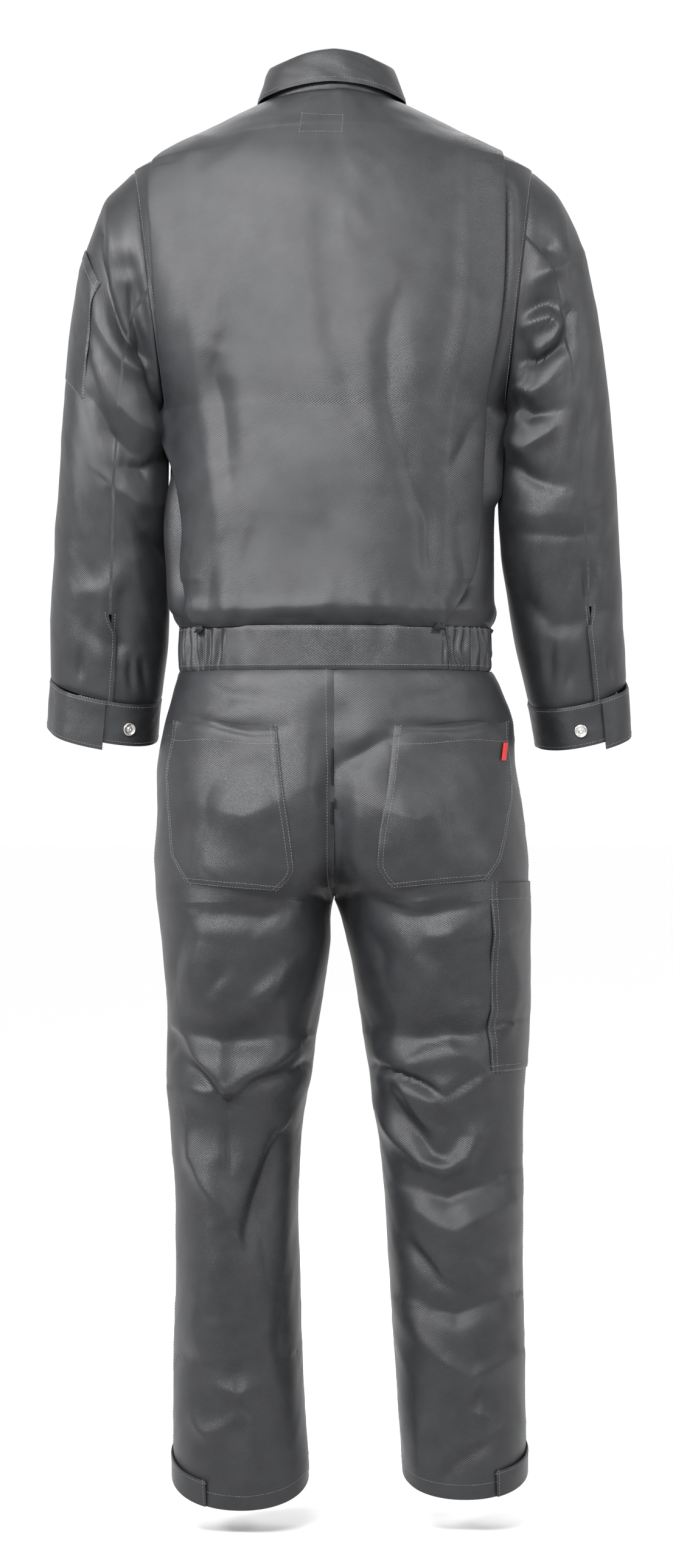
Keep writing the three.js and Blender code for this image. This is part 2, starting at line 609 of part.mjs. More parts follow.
function bandCell(facing, x, z, extra = 0) {
  const name = x >= 0 ? 'left' : 'right';
  const side = column(LEGS[name], 'z', 'out', BAND_SEAM);
  const depth = facing > 0 ? LEGS[name][0].back : LEGS[name][0].front;
  const reach = lerp(column(BODICE_SIDES, 'z', name, WAIST_SEAM), side, (WAIST_SEAM - z) / (WAIST_SEAM - BAND_SEAM));
  const at = clamp(Math.abs(x) / reach, 0, 1);
  const y = depth * (1 - at ** BODY_SHAPE) ** (1 / BODY_SHAPE);
  const nx = (at ** (BODY_SHAPE - 1)) / reach;
  const ny = ((y / depth) ** (BODY_SHAPE - 1)) / depth;
  const normal = new THREE.Vector3(Math.sign(x) * nx, facing * ny, 0).normalize();
  return { point: new THREE.Vector3(x, facing * y, z).addScaledVector(normal, extra), normal };
}

function bandLevels(count) {
  return spread(WAIST_SEAM - SEAM_GAP / 2, BAND_SEAM + SEAM_GAP / 2, count);
}

function bandPiece(name, facing, xs, rows, wave, seats) {
  const grid = bandLevels(rows).map((z) => xs.map((x, j) => {
    const cell = bandCell(facing, x, z, wave(j, z));
    const plane = seats[j];
    if (plane) seat(cell, plane.axis, plane.shift);
    return cell;
  }));
  return wall(name, cloth(), grid, { thickness: BAND_CLOTH });
}

function roundTo(side, from, to, reach, count) {
  const start = Math.asin((from / reach) ** (BODY_SHAPE / 2));
  const end = Math.asin(clamp(to / reach, 0, 1) ** (BODY_SHAPE / 2));
  return spread(start, end, count).map((a) => side * reach * Math.sin(a) ** (2 / BODY_SHAPE));
}

function waistband() {
  const pieces = [bandPiece('waistband_back', 1, spread(-BAND_CENTRE, BAND_CENTRE, 12), 1, () => 0, {
    0: { axis: ALONG_X, shift: SEAM_GAP / 2 },
    12: { axis: ALONG_X, shift: -SEAM_GAP / 2 },
  })];
  for (const name of ['left', 'right']) {
    const side = ARMHOLES[name].side;
    const reach = column(BODICE_SIDES, 'z', name, WAIST_SEAM);
    const steps = ELASTIC.waves * 4;
    const across = roundTo(side, BAND_CENTRE, reach, reach, steps);
    const gather = (j, z) => {
      const ends = smooth(j / 3) * smooth((steps - j) / 3);
      const level = (z - BAND_SEAM) / (WAIST_SEAM - BAND_SEAM);
      return ELASTIC.depth * Math.sin(j * HALF_TURN / 2 + level * 0.8) * ends;
    };
    pieces.push(bandPiece(`elastic_${name}`, 1, across, 2, gather, {
      0: { axis: ALONG_X, shift: side * SEAM_GAP / 2 },
      [steps]: { axis: ALONG_Y, shift: SEAM_GAP / 2 },
    }));
    pieces.push(bandPiece(`waistband_front_${name}`, -1, roundTo(side, 0, reach, reach, 9), 1, () => 0, {
      0: { axis: ALONG_X, shift: side * SEAM_GAP / 2 },
      9: { axis: ALONG_Y, shift: -SEAM_GAP / 2 },
    }));
  }
  return pieces;
}

// Legs: turn 0 is the side seam and 180 degrees the inner seam
function legRing(name, z, facing) {
  const at = (key) => column(LEGS[name], 'z', key, z);
  const [out, inner] = [at('out'), at('in')];
  const middle = (out + inner) / 2;
  const half = (out - inner) / 2;
  const shape = lerp(BODY_SHAPE, LEG_SHAPE, smooth((BAND_SEAM - z) / 120));
  const cut = inner < 0 ? Math.acos(-((Math.abs(middle) / half) ** (shape / 2))) : HALF_TURN;
  return { middle, half, shape, depth: at(facing > 0 ? 'back' : 'front'), hang: at('hang'), cut, z, facing, inner };
}

function legPoint(name, ring, turn) {
  const side = ARMHOLES[name].side;
  const x = ring.middle + ring.half * signPow(Math.cos(turn), 2 / ring.shape);
  const out = Math.max(Math.sin(turn), 0) ** (2 / ring.shape);
  return new THREE.Vector3(side * x, ring.facing * ring.depth * out, ring.z - ring.facing * ring.hang * out);
}

// A turn below 0 goes round the side seam to the front
function legSurface(name, z, turn) {
  const facing = turn >= 0 ? 1 : -1;
  return legPoint(name, legRing(name, z, facing), Math.abs(turn));
}

function legCell(name, z, turn, facing, extra = 0) {
  const low = LEGS[name][LEGS[name].length - 1].z;
  const levels = clamp(z, low + 2, BAND_SEAM - 2);
  const base = (a, t) => legSurface(name, a, facing * t);
  const normal = framed(base, levels, clamp(turn, 0.08, HALF_TURN - 0.08), () => 0, [2, 0.05]).normal;
  if (normal.dot(base(levels, 0.5 * HALF_TURN).sub(base(levels, clamp(turn, 0.3, 2.8))).setX(0)) > 0) normal.negate();
  const point = base(z, turn);
  const centre = new THREE.Vector3(ARMHOLES[name].side * legRing(name, z, facing).middle, 0, point.z);
  if (normal.dot(point.clone().sub(centre)) < 0) normal.negate();
  const onBack = facing > 0 ? smooth(Math.sin(turn) * 2.5 - 0.4) : 0;
  const fold = foldLift(LEG_FOLDS, point.x, point.z) * onBack * smooth((BAND_SEAM - z) / 40);
  return { point: point.addScaledVector(normal, fold + extra), normal };
}

function legLevels(name) {
  const low = LEGS[name][LEGS[name].length - 1].z;
  return [BAND_SEAM, -670, -705, -745, -785, -820, -850, -874, -891, -901.5, -930, -962, -996, -1030,
    -1058, -1082, -1106, -1130, -1160, -1195, -1232, -1272, -1320, -1375, -1435, -1495, low];
}

function leg(name, facing) {
  const side = ARMHOLES[name].side;
  const grid = legLevels(name).map((z) => {
    const cut = legRing(name, z, facing).cut;
    return spread(0, cut, LEG_COLUMNS).map((turn, j) => {
      const cell = legCell(name, z, turn, facing);
      if (z === BAND_SEAM) seat(cell, ALONG_Z, -SEAM_GAP / 2);
      if (j === 0) seat(cell, ALONG_Y, facing * SEAM_GAP / 2);
      if (j === LEG_COLUMNS && z > -901) seat(cell, ALONG_X, side * SEAM_GAP / 2);
      if (j === LEG_COLUMNS && z < -880) seat(cell, ALONG_Y, facing * SEAM_GAP / 2);
      return cell;
    });
  });
  return wall(`leg_${facing > 0 ? 'back' : 'front'}_${name}`, cloth(), grid);
}

// The turn round the leg at which its back has a given x
function turnAtX(name, z, x) {
  const ring = legRing(name, z, 1);
  const share = clamp((x - ring.middle) / ring.half, -1, 1);
  return Math.acos(signPow(share, ring.shape / 2));
}

// Patch pockets on the seat: outer and inner edge by level, for each side
const HIP_POCKETS = {
  left: [
    { z: -704, outer: 172, inner: 64 },
    { z: -777, outer: 185, inner: 56 },
    { z: -851, outer: 179, inner: 46 },
    { z: -868, outer: 172, inner: 50 },
    { z: -884, outer: 160, inner: 62 },
  ],
  right: [
    { z: -704, outer: 192, inner: 68 },
    { z: -777, outer: 198, inner: 59 },
    { z: -845, outer: 186, inner: 48 },
    { z: -862, outer: 179, inner: 53 },
    { z: -880, outer: 168, inner: 65 },
  ],
};

function hipPocket(name) {
  const shape = HIP_POCKETS[name];
  const levels = [-704, -722, -740, -760, -780, -800, -820, -836, -850, -862, -872, shape[4].z];
  const grid = levels.map((z) => {
    const from = turnAtX(name, z, column(shape, 'z', 'outer', z));
    const to = turnAtX(name, z, column(shape, 'z', 'inner', z));
    return spread(from, to, 8).map((turn) => legCell(name, z, turn, 1, CLOTH + LAY_GAP));
  });
  return wall(`pocket_hip_${name}`, cloth(), grid);
}

// A small plain tab sewn on the right pocket
const RED_TAB = { x: 187, z: -734, width: 9, height: 20, thickness: 0.8 };

function redTab() {
  const levels = spread(RED_TAB.z + RED_TAB.height / 2, RED_TAB.z - RED_TAB.height / 2, 2);
  const grid = levels.map((z) => spread(-0.5, 0.5, 2).map((share) => {
    const turn = turnAtX('right', z, RED_TAB.x - share * RED_TAB.width * 0.55);
    return legCell('right', z, turn, 1, CLOTH + LAY_GAP + RED_TAB.thickness + LAY_GAP);
  }));
  return wall('red_tab', redCloth(), grid, { thickness: RED_TAB.thickness });
}

// Tool pocket round the side of the right leg; a negative turn is on the front
const TOOL_POCKET = { top: -880, bottom: -1090, inner: 174, front: -26 };

function toolPocket() {
  const grid = spread(TOOL_POCKET.top, TOOL_POCKET.bottom, 9).map((z) => {
    const back = turnAtX('right', z, TOOL_POCKET.inner) / DEGREE;
    return spread(back, TOOL_POCKET.front, 9).map((degrees) => {
      const turn = degrees * DEGREE;
      return legCell('right', z, Math.abs(turn), turn >= 0 ? 1 : -1, CLOTH + LAY_GAP + 0.3);
    });
  });
  return wall('tool_pocket', cloth(), grid);
}

// Overlapping tabs at the hems
const ANKLE_TAB = { back: 62, front: -24, height: 27 };

function ankleTab(name) {
  const low = LEGS[name][LEGS[name].length - 1].z;
  const grid = spread(low + ANKLE_TAB.height, low, 2).map((z) => {
    return spread(ANKLE_TAB.back, ANKLE_TAB.front, 9).map((degrees) => {
      const turn = degrees * DEGREE;
      return legCell(name, z, Math.abs(turn), turn >= 0 ? 1 : -1, CLOTH + LAY_GAP + 0.3);
    });
  });
  return wall(`ankle_tab_${name}`, cloth(), grid);
}

// Pen pocket on the outside of the left sleeve
const PEN_POCKET = { top: 0.2, bottom: 0.475, back: 54, front: -18 };

function penPocket() {
  const grid = spread(PEN_POCKET.top, PEN_POCKET.bottom, 8).map((share) => {
    return spread(PEN_POCKET.back, PEN_POCKET.front, 6).map((degrees) => {
      return sleeveCell('left', share, degrees * DEGREE, CLOTH + LAY_GAP + 0.4);
    });
  });
  return wall('pen_pocket', cloth(), grid);
}

// Closure strip down the centre front, over bodice, waistband and fly
const PLACKET = { half: 19, topRow: 2.93, bottom: -800, lift: BAND_CLOTH + 0.9 };

function frontPlacket() {
  const across = spread(-1, 1, 4).map((t) => t * PLACKET.half);
  const grid = [];
  for (const row of [...BODICE_ROWS].reverse().filter((r) => r < 3 && r > 0)) grid.push({ row });
  grid[0].row = 2.8;
  grid.unshift({ row: PLACKET.topRow });
  for (const z of [WAIST_SEAM, (WAIST_SEAM + BAND_SEAM) / 2, BAND_SEAM]) grid.push({ band: z });
  for (const z of [-680, -720, -760, PLACKET.bottom]) grid.push({ fly: z });
  const cells = grid.map((level) => across.map((x) => {
    const name = x >= 0 ? 'left' : 'right';
    if (level.band !== undefined) return bandCell(-1, x, level.band, PLACKET.lift);
    if (level.fly !== undefined) return legCell(name, level.fly, turnAtX(name, level.fly, Math.abs(x)), -1, PLACKET.lift);
    const ring = bodiceRow(name, level.row, -1);
    const angle = Math.sign(x || 1) * angleAtX(ring, x);
    return bodiceCell(level.row, angle, -1, () => PLACKET.lift);
  }));
  return wall('front_placket', cloth(), cells);
}

// Collar: angle 0 is the centre back, 180 the centre front
const COLLAR = [
  { angle: 0, height: 42, lean: 12, out: 6, drop: 39, flare: 0 },
  { angle: 22, height: 39.5, lean: 12, out: 6.5, drop: 38, flare: 0 },
  { angle: 45, height: 36.5, lean: 12, out: 7, drop: 37, flare: 1 },
  { angle: 70, height: 36.5, lean: 11.5, out: 8, drop: 38.5, flare: 2 },
  { angle: 90, height: 38, lean: 11, out: 9, drop: 41, flare: 2 },
  { angle: 135, height: 33, lean: 10, out: 14, drop: 44, flare: 5 },
  { angle: 172, height: 30, lean: 7, out: 20, drop: 58, flare: 8 },
];
const FALL_RISE = CLOTH + 0.6;
const COLLAR_SEAT = 0.9;

function necklinePoint(angle) {
  const name = angle >= 0 ? 'left' : 'right';
  const size = Math.abs(angle);
  const facing = size <= 90 ? 1 : -1;
  const ring = bodiceRow(name, 3, facing);
  const share = facing > 0 ? size / 90 : (180 - size) / 90;
  return bodiceBase(ring, ring.end * share);
}

function collarCell(angle, up, out) {
  const foot = necklinePoint(angle);
  const a = necklinePoint(angle + 2);
  const b = necklinePoint(angle - 2);
  const along = a.sub(b).setZ(0).normalize();
  const away = new THREE.Vector3(-along.y, along.x, 0);
  if (away.dot(foot.clone().setZ(0)) < 0) away.negate();
  return { point: foot.addScaledVector(away, out).addScaledVector(ALONG_Z, up), normal: away };
}

function collarStand() {
  const angles = spread(-172, 172, 26);
  const grid = [0, 0.5, 1].map((share) => angles.map((angle) => {
    const at = (key) => column(COLLAR, 'angle', key, Math.abs(angle));
    const cell = collarCell(angle, at('height') * share + COLLAR_SEAT, -at('lean') * share ** 1.3);
    return cell;
  }));
  return wall('collar_stand', cloth(), grid);
}

function collarFall() {
  const angles = spread(-170, 170, 26);
  const profile = [
    { over: 0, down: 0, tilt: 90 },
    { over: 0.32, down: 0.035, tilt: 55 },
    { over: 0.5, down: 0.2, tilt: 12 },
    { over: 0.75, down: 0.6, tilt: 4 },
    { over: 1, down: 1, tilt: 2 },
  ];
  const grid = profile.map((step) => angles.map((angle) => {
    const at = (key) => column(COLLAR, 'angle', key, Math.abs(angle));
    const top = at('height') + COLLAR_SEAT + FALL_RISE;
    const out = -at('lean') + (at('lean') + at('out')) * step.over + at('flare') * step.down;
    const cell = collarCell(angle, top - at('drop') * step.down, out);
    const tilt = step.tilt * DEGREE;
    cell.normal.multiplyScalar(Math.cos(tilt)).addScaledVector(ALONG_Z, Math.sin(tilt)).normalize();
    return cell;
  }));
  return wall('collar_fall', cloth(), grid);
}

// The whole garment
const suit = new THREE.Group();
suit.add(backCentre(), frontPlacket(), collarStand(), collarFall(), ...waistband());
for (const name of ['left', 'right']) {
  suit.add(backSide(name), front(name), sleeve(name), cuff(name), snap(name));
  suit.add(leg(name, 1), leg(name, -1), hipPocket(name), ankleTab(name));
}
suit.add(toolPocket(), penPocket(), redTab());

export default suit;
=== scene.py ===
"""A hollow boiler suit seen from behind: thin cloth shells on the forms of its solids.

Lengths in the tables are millimetres and become metres in the meshes. The back of the
garment faces +Y, the wearer's left is +X, and the origin is on the shoulder line.
"""

import logging
import math
from dataclasses import dataclass, field
from enum import Enum

import bpy
import numpy as np
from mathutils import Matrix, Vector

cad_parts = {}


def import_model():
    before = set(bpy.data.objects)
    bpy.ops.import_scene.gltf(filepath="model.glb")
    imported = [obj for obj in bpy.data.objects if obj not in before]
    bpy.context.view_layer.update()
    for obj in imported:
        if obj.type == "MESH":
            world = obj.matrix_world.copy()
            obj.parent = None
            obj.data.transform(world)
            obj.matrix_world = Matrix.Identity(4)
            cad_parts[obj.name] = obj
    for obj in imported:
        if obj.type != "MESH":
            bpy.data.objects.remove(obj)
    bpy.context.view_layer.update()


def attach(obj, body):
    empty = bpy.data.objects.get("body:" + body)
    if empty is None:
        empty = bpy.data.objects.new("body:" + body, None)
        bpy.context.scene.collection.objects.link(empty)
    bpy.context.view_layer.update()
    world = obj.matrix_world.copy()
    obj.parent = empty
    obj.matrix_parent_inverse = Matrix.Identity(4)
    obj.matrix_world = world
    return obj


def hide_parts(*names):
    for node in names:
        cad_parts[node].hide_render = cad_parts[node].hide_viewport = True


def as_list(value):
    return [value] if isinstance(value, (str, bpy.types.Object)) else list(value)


MM = 0.001
DEGREE = math.pi / 180
BODY = "root"
COLUMNS = ("first_column", "last_column")
ROWS = ("first_row", "last_row")
POCKET_EDGES = (*COLUMNS, "last_row")

Array = np.ndarray
log = logging.getLogger("boiler_suit")


class Side(Enum):
    """The wearer's side, with the sign of its x."""

    LEFT = 1
    RIGHT = -1

    @property
    def word(self) -> str:
        """The side's name as the pieces use it."""
        return self.name.lower()


class Facing(Enum):
    """Which way a panel faces, with the sign of its y."""

    BACK = 1
    FRONT = -1

    @property
    def word(self) -> str:
        """The direction's name as the pieces use it."""
        return self.name.lower()


class Hold(Enum):
    """How a cloth piece is held."""

    DRAPED = "draped"
    GATHERED = "gathered"
    LAID = "laid"
    FOLDED = "folded"


# Small helpers for numbers


def smooth(t: Array) -> Array:
    """A soft step from 0 to 1."""
    s = np.clip(t, 0.0, 1.0)
    return s * s * (3 - 2 * s)


def mix(a: Array, b: Array, t: Array) -> Array:
    """The value between a and b at share t."""
    return a + (b - a) * t


def bell(distance: Array, width: float) -> Array:
    """A soft bump that is 1 at distance 0 and fades over a width."""
    return np.exp(-((distance / width) ** 2))


def window(value: Array, low: float, high: float, soft: float) -> Array:
    """Is 1 between low and high, with soft ends inside them."""
    return smooth((value - low) / soft) * smooth((high - value) / soft)


def sign_pow(v: Array, p: float) -> Array:
    """A power that keeps the sign of its base."""
    return np.sign(v) * np.abs(v) ** p


def unit(v: Array) -> Array:
    """Vectors of length one along the last axis."""
    return v / np.maximum(np.linalg.norm(v, axis=-1, keepdims=True), 1e-12)


@dataclass(frozen=True)
class Table:
    """A short table with named columns and a smooth curve through each.

    Args:
        names: the columns, the first of which is the key.
        rows: one tuple for each station.
    """

    names: tuple[str, ...]
    rows: tuple[tuple[float, ...], ...]

    def at(self, name: str, where: Array) -> Array:
        """Reads a column at any place along the key.

        Args:
            name: the column.
            where: places along the key.

        Returns:
            The smooth values there.
        """
        data = np.array(sorted(self.rows), float)
        keys, values = data[:, 0], data[:, self.names.index(name)]
        x = np.clip(np.asarray(where, float), keys[0], keys[-1])
        i = np.clip(np.searchsorted(keys, x, side="right") - 1, 0, len(keys) - 2)
        before, after = np.arange(len(keys)) - 1, np.arange(len(keys)) + 1
        before, after = np.clip(before, 0, None), np.clip(after, None, len(keys) - 1)
        slope = (values[after] - values[before]) / (keys[after] - keys[before])
        h = keys[i + 1] - keys[i]
        t = (x - keys[i]) / h
        t2, t3 = t * t, t * t * t
        return (
            (2 * t3 - 3 * t2 + 1) * values[i]
            + (t3 - 2 * t2 + t) * h * slope[i]
            + (3 * t2 - 2 * t3) * values[i + 1]
            + (t3 - t2) * h * slope[i + 1]
        )


# The camera's view, which the creases are placed in


@dataclass(frozen=True)
class Viewpoint:
    """Where the camera stands, in millimetres."""

    x: float = -2.8
    z: float = -770.0
    distance: float = 5000.0
    frame_height: float = 1777.4

    def flat(self, points: Array) -> tuple[Array, Array]:
        """Projects points onto the plane of the shoulder line, as the camera sees them."""
        scale = self.distance / (self.distance - points[..., 1])
        return (
            self.x + (points[..., 0] - self.x) * scale,
            self.z + (points[..., 2] - self.z) * scale,
        )


VIEW = Viewpoint()


# Creases

BODICE_GAIN = 1.0
LEG_GAIN = 1.9
LEG_FORM_GAIN = 1.15 * LEG_GAIN
SLEEVE_GAIN = 1.35
CREASE_SPREAD = 1.2
CREASE_WANDER = 3.2


@dataclass(frozen=True)
class Crease:
    """A soft ridge, or a trough where its height is negative.

    Args:
        line: x and z of its points, one after another.
        width: half width to the left of its way, in millimetres.
        height: how far it stands out, in millimetres.
        far: half width to the right of its way, or the same where it is 0.
    """

    line: tuple[float, ...]
    width: float
    height: float
    far: float = 0.0

    def lift(self, x: Array, z: Array) -> Array:
        """How far the crease moves points out.

        Args:
            x: places across the view.
            z: levels in the view.

        Returns:
            The lift of each point.
        """
        nearest = np.full(x.shape, 1e9)
        side = np.ones(x.shape)
        along = np.zeros(x.shape)
        pairs = np.array(self.line, float).reshape(-1, 2)
        parts = len(pairs) - 1
        for i, (a, b) in enumerate(zip(pairs[:-1], pairs[1:])):
            d = b - a
            t = np.clip(((x - a[0]) * d[0] + (z - a[1]) * d[1]) / (d @ d), 0, 1)
            px, pz = x - a[0] - d[0] * t, z - a[1] - d[1] * t
            distance = np.hypot(px, pz)
            closer = distance < nearest
            nearest = np.where(closer, distance, nearest)
            along = np.where(closer, (i + t) / parts, along)
            side = np.where(closer, np.sign(d[0] * pz - d[1] * px), side)
        width = np.where(side > 0, self.width, self.far or self.width)
        fade = 0.25 + 0.75 * np.sin(math.pi * np.clip(along, 0.06, 0.94)) ** 0.7
        reach = nearest / width / CREASE_SPREAD
        return self.height * fade * (0.62 * np.exp(-(reach**2)) + 0.38 * np.exp(-1.15 * reach))


def creases(*rows: tuple) -> tuple[Crease, ...]:
    """Makes creases from rows of line, width, height and far."""
    return tuple(Crease(*row) for row in rows)


def lift_of(group: tuple[Crease, ...], x: Array, z: Array) -> Array:
    """The lift of several creases together, with their lines a little uneven."""
    total = np.zeros(x.shape)
    x, z = x + CREASE_WANDER * ripple(x, z, 34.0, 301), z + CREASE_WANDER * ripple(z, x, 30.0, 302)
    for crease in group:
        total += crease.lift(x, z)
    return total


def ripple(x: Array, z: Array, size: float, seed: int) -> Array:
    """Smooth uneven waves between -1 and 1.

    Args:
        x: places across.
        z: places up.
        size: the distance between waves, in millimetres.
        seed: which pattern.

    Returns:
        The height of the waves.
    """
    rng = np.random.default_rng(seed)
    lattice = rng.uniform(-1, 1, (64, 64))
    u, v = np.asarray(x / size), np.asarray(z / size)
    i, j = np.floor(u).astype(int), np.floor(v).astype(int)
    s, t = smooth(u - i), smooth(v - j)
    corner = [[lattice[(i + a) % 64, (j + b) % 64] for b in (0, 1)] for a in (0, 1)]
    low = mix(corner[0][0], corner[1][0], s)
    high = mix(corner[0][1], corner[1][1], s)
    return mix(low, high, t)


BODICE_CREASES = creases(
    ((93, -146, 117, -169, 128, -205, 135, -235, 141, -270), 10, 3.6, 18),
    ((132, -270, 136, -309, 131, -335, 124, -375, 119, -420), 9, -4.0, 14),
    ((54, -238, 49, -262, 43, -290), 10, -2.2, 16),
    ((17, -153, 4, -230, -10, -304, -21, -344), 12, -2.6, 20),
    ((148, -121, 147, -160, 146, -201), 10, 2.6),
    ((-67, -225, -59, -270, -60, -322, -70, -375, -83, -412), 10, -4.0, 18),
    ((-83, -412, -96, -447, -103, -475, -110, -526, -113, -573), 9, -4.6, 16),
    ((-159, -235, -147, -280, -135, -322, -122, -388), 18, 3.4, 12),
    ((-152, -364, -141, -390, -130, -412), 5, -2.8, 9),
    ((-163, -214, -161, -225), 5, -2.0),
    ((90, -590, 70, -575, 30, -570, -15, -556, -60, -568, -100, -588), 9, 2.6, 16),
    ((158, -520, 163, -560, 150, -585), 6, 2.6, 10),
    ((130, -500, 140, -540, 136, -580), 7, -2.6, 12),
    ((92, -470, 104, -530, 98, -580), 8, -2.0, 16),
    ((-140, -480, -146, -530, -138, -575), 7, -2.8, 12),
    ((0, -420, 12, -480, 4, -540), 14, -1.6, 22),
)
BODICE_FRONT_CREASES = creases(
    ((120, -150, 96, -220, 88, -300), 12, -3.2, 18),
    ((-118, -150, -100, -230, -84, -310), 12, -3.0, 18),
    ((150, -340, 110, -400, 70, -440), 12, 3.0, 16),
    ((-150, -350, -112, -410, -66, -450), 12, 3.0, 16),
    ((130, -470, 120, -530, 126, -580), 9, -3.4, 14),
    ((-126, -460, -118, -520, -128, -578), 9, -3.4, 14),
    ((70, -490, 62, -540, 70, -585), 8, -2.6, 12),
    ((-60, -500, -70, -545, -62, -585), 8, -2.6, 12),
)
SLEEVE_CREASES = creases(
    ((255, -104, 251, -148, 243, -192), 9, 5.0, 12),
    ((266, -150, 261, -208, 240, -262, 200, -300), 7, -8.0, 5),
    ((278, -190, 266, -246, 242, -290, 196, -322), 8, 6.5, 14),
    ((224, -186, 214, -228, 208, -266, 202, -305), 16, -24.0, 14),
    ((222, -214, 220, -244, 210, -272), 5, 9.0),
    ((216, -128, 208, -180, 200, -230), 8, 3.0),
    ((268, -290, 246, -340, 218, -366, 192, -376), 9, 6.0, 14),
    ((276, -330, 256, -368, 234, -394, 206, -400), 10, -5.0, 8),
    ((238, -409, 216, -414, 196, -404), 10, -7.0, 7),
    ((252, -430, 228, -450, 190, -452), 9, 5.0, 16),
    ((218, -478, 200, -500, 186, -520), 12, -5.0, 9),
    ((300, -380, 292, -440, 296, -500), 16, 2.5),
    ((230, -520, 258, -548, 292, -556), 12, 3.5, 16),
    ((290, -588, 262, -610, 226, -612), 10, -3.0, 14),
    ((244, -560, 246, -600, 250, -640), 6, -4.0, 9),
    ((262, -560, 264, -600, 262, -640), 6, 3.0),
    ((218, -632, 214, -650, 212, -668), 4, -4.0),
    ((232, -628, 231, -650, 230, -668), 4, -3.6),
    ((286, -620, 288, -640, 290, -655), 4, -3.6),
    ((-225, -133, -240, -157, -254, -172), 12, -6.0, 9),
    ((-206, -206, -237, -190, -267, -176), 9, 6.0, 13),
    ((-203, -246, -218, -233, -242, -228, -259, -236), 6, -7.0, 9),
    ((-206, -263, -220, -248, -240, -244, -253, -253, -247, -270, -235, -277), 6, 7.5, 7),
    ((-196, -258, -214, -274), 9, -13.0),
    ((-198, -286, -237, -290, -259, -270, -265, -244), 8, -9.0, 6),
    ((-198, -316, -223, -326, -242, -316), 7, 7.0, 10),
    ((-196, -336, -223, -353, -246, -350), 7, -8.5, 10),
    ((-193, -378, -213, -388, -238, -376), 8, 6.5, 11),
    ((-190, -402, -213, -422, -248, -432), 8, -7.0, 12),
    ((-196, -452, -230, -466, -276, -460), 14, 3.0, 20),
    ((-200, -486, -244, -487, -290, -486), 5, -1.6),
    ((-284, -171, -286, -250, -284, -330), 14, 3.0, 18),
    ((-284, -526, -288, -548, -291, -569), 5, -5.0),
    ((-300, -520, -302, -550, -303, -580), 6, 3.0),
    ((-216, -560, -250, -590, -290, -584), 10, -4.0, 16),
    ((-250, -600, -244, -636, -240, -670), 6, -3.6, 8),
    ((-268, -630, -266, -650, -264, -670), 4, -3.6),
    ((-310, -620, -312, -640, -314, -655), 4, -3.4),
)
SLEEVE_FRONT_CREASES = creases(
    ((214, -240, 234, -290, 262, -330), 12, -5.0, 16),
    ((200, -430, 238, -416, 280, -428), 10, -5.0, 8),
    ((200, -470, 240, -456, 290, -470), 12, 4.0, 9),
    ((230, -540, 262, -556, 300, -548), 12, 3.0, 14),
    ((-214, -240, -238, -296, -266, -336), 12, -5.0, 16),
    ((-200, -436, -240, -420, -284, -432), 10, -5.0, 8),
    ((-204, -476, -244, -462, -296, -476), 12, 4.0, 9),
    ((-236, -548, -270, -562, -308, -556), 12, 3.0, 14),
)
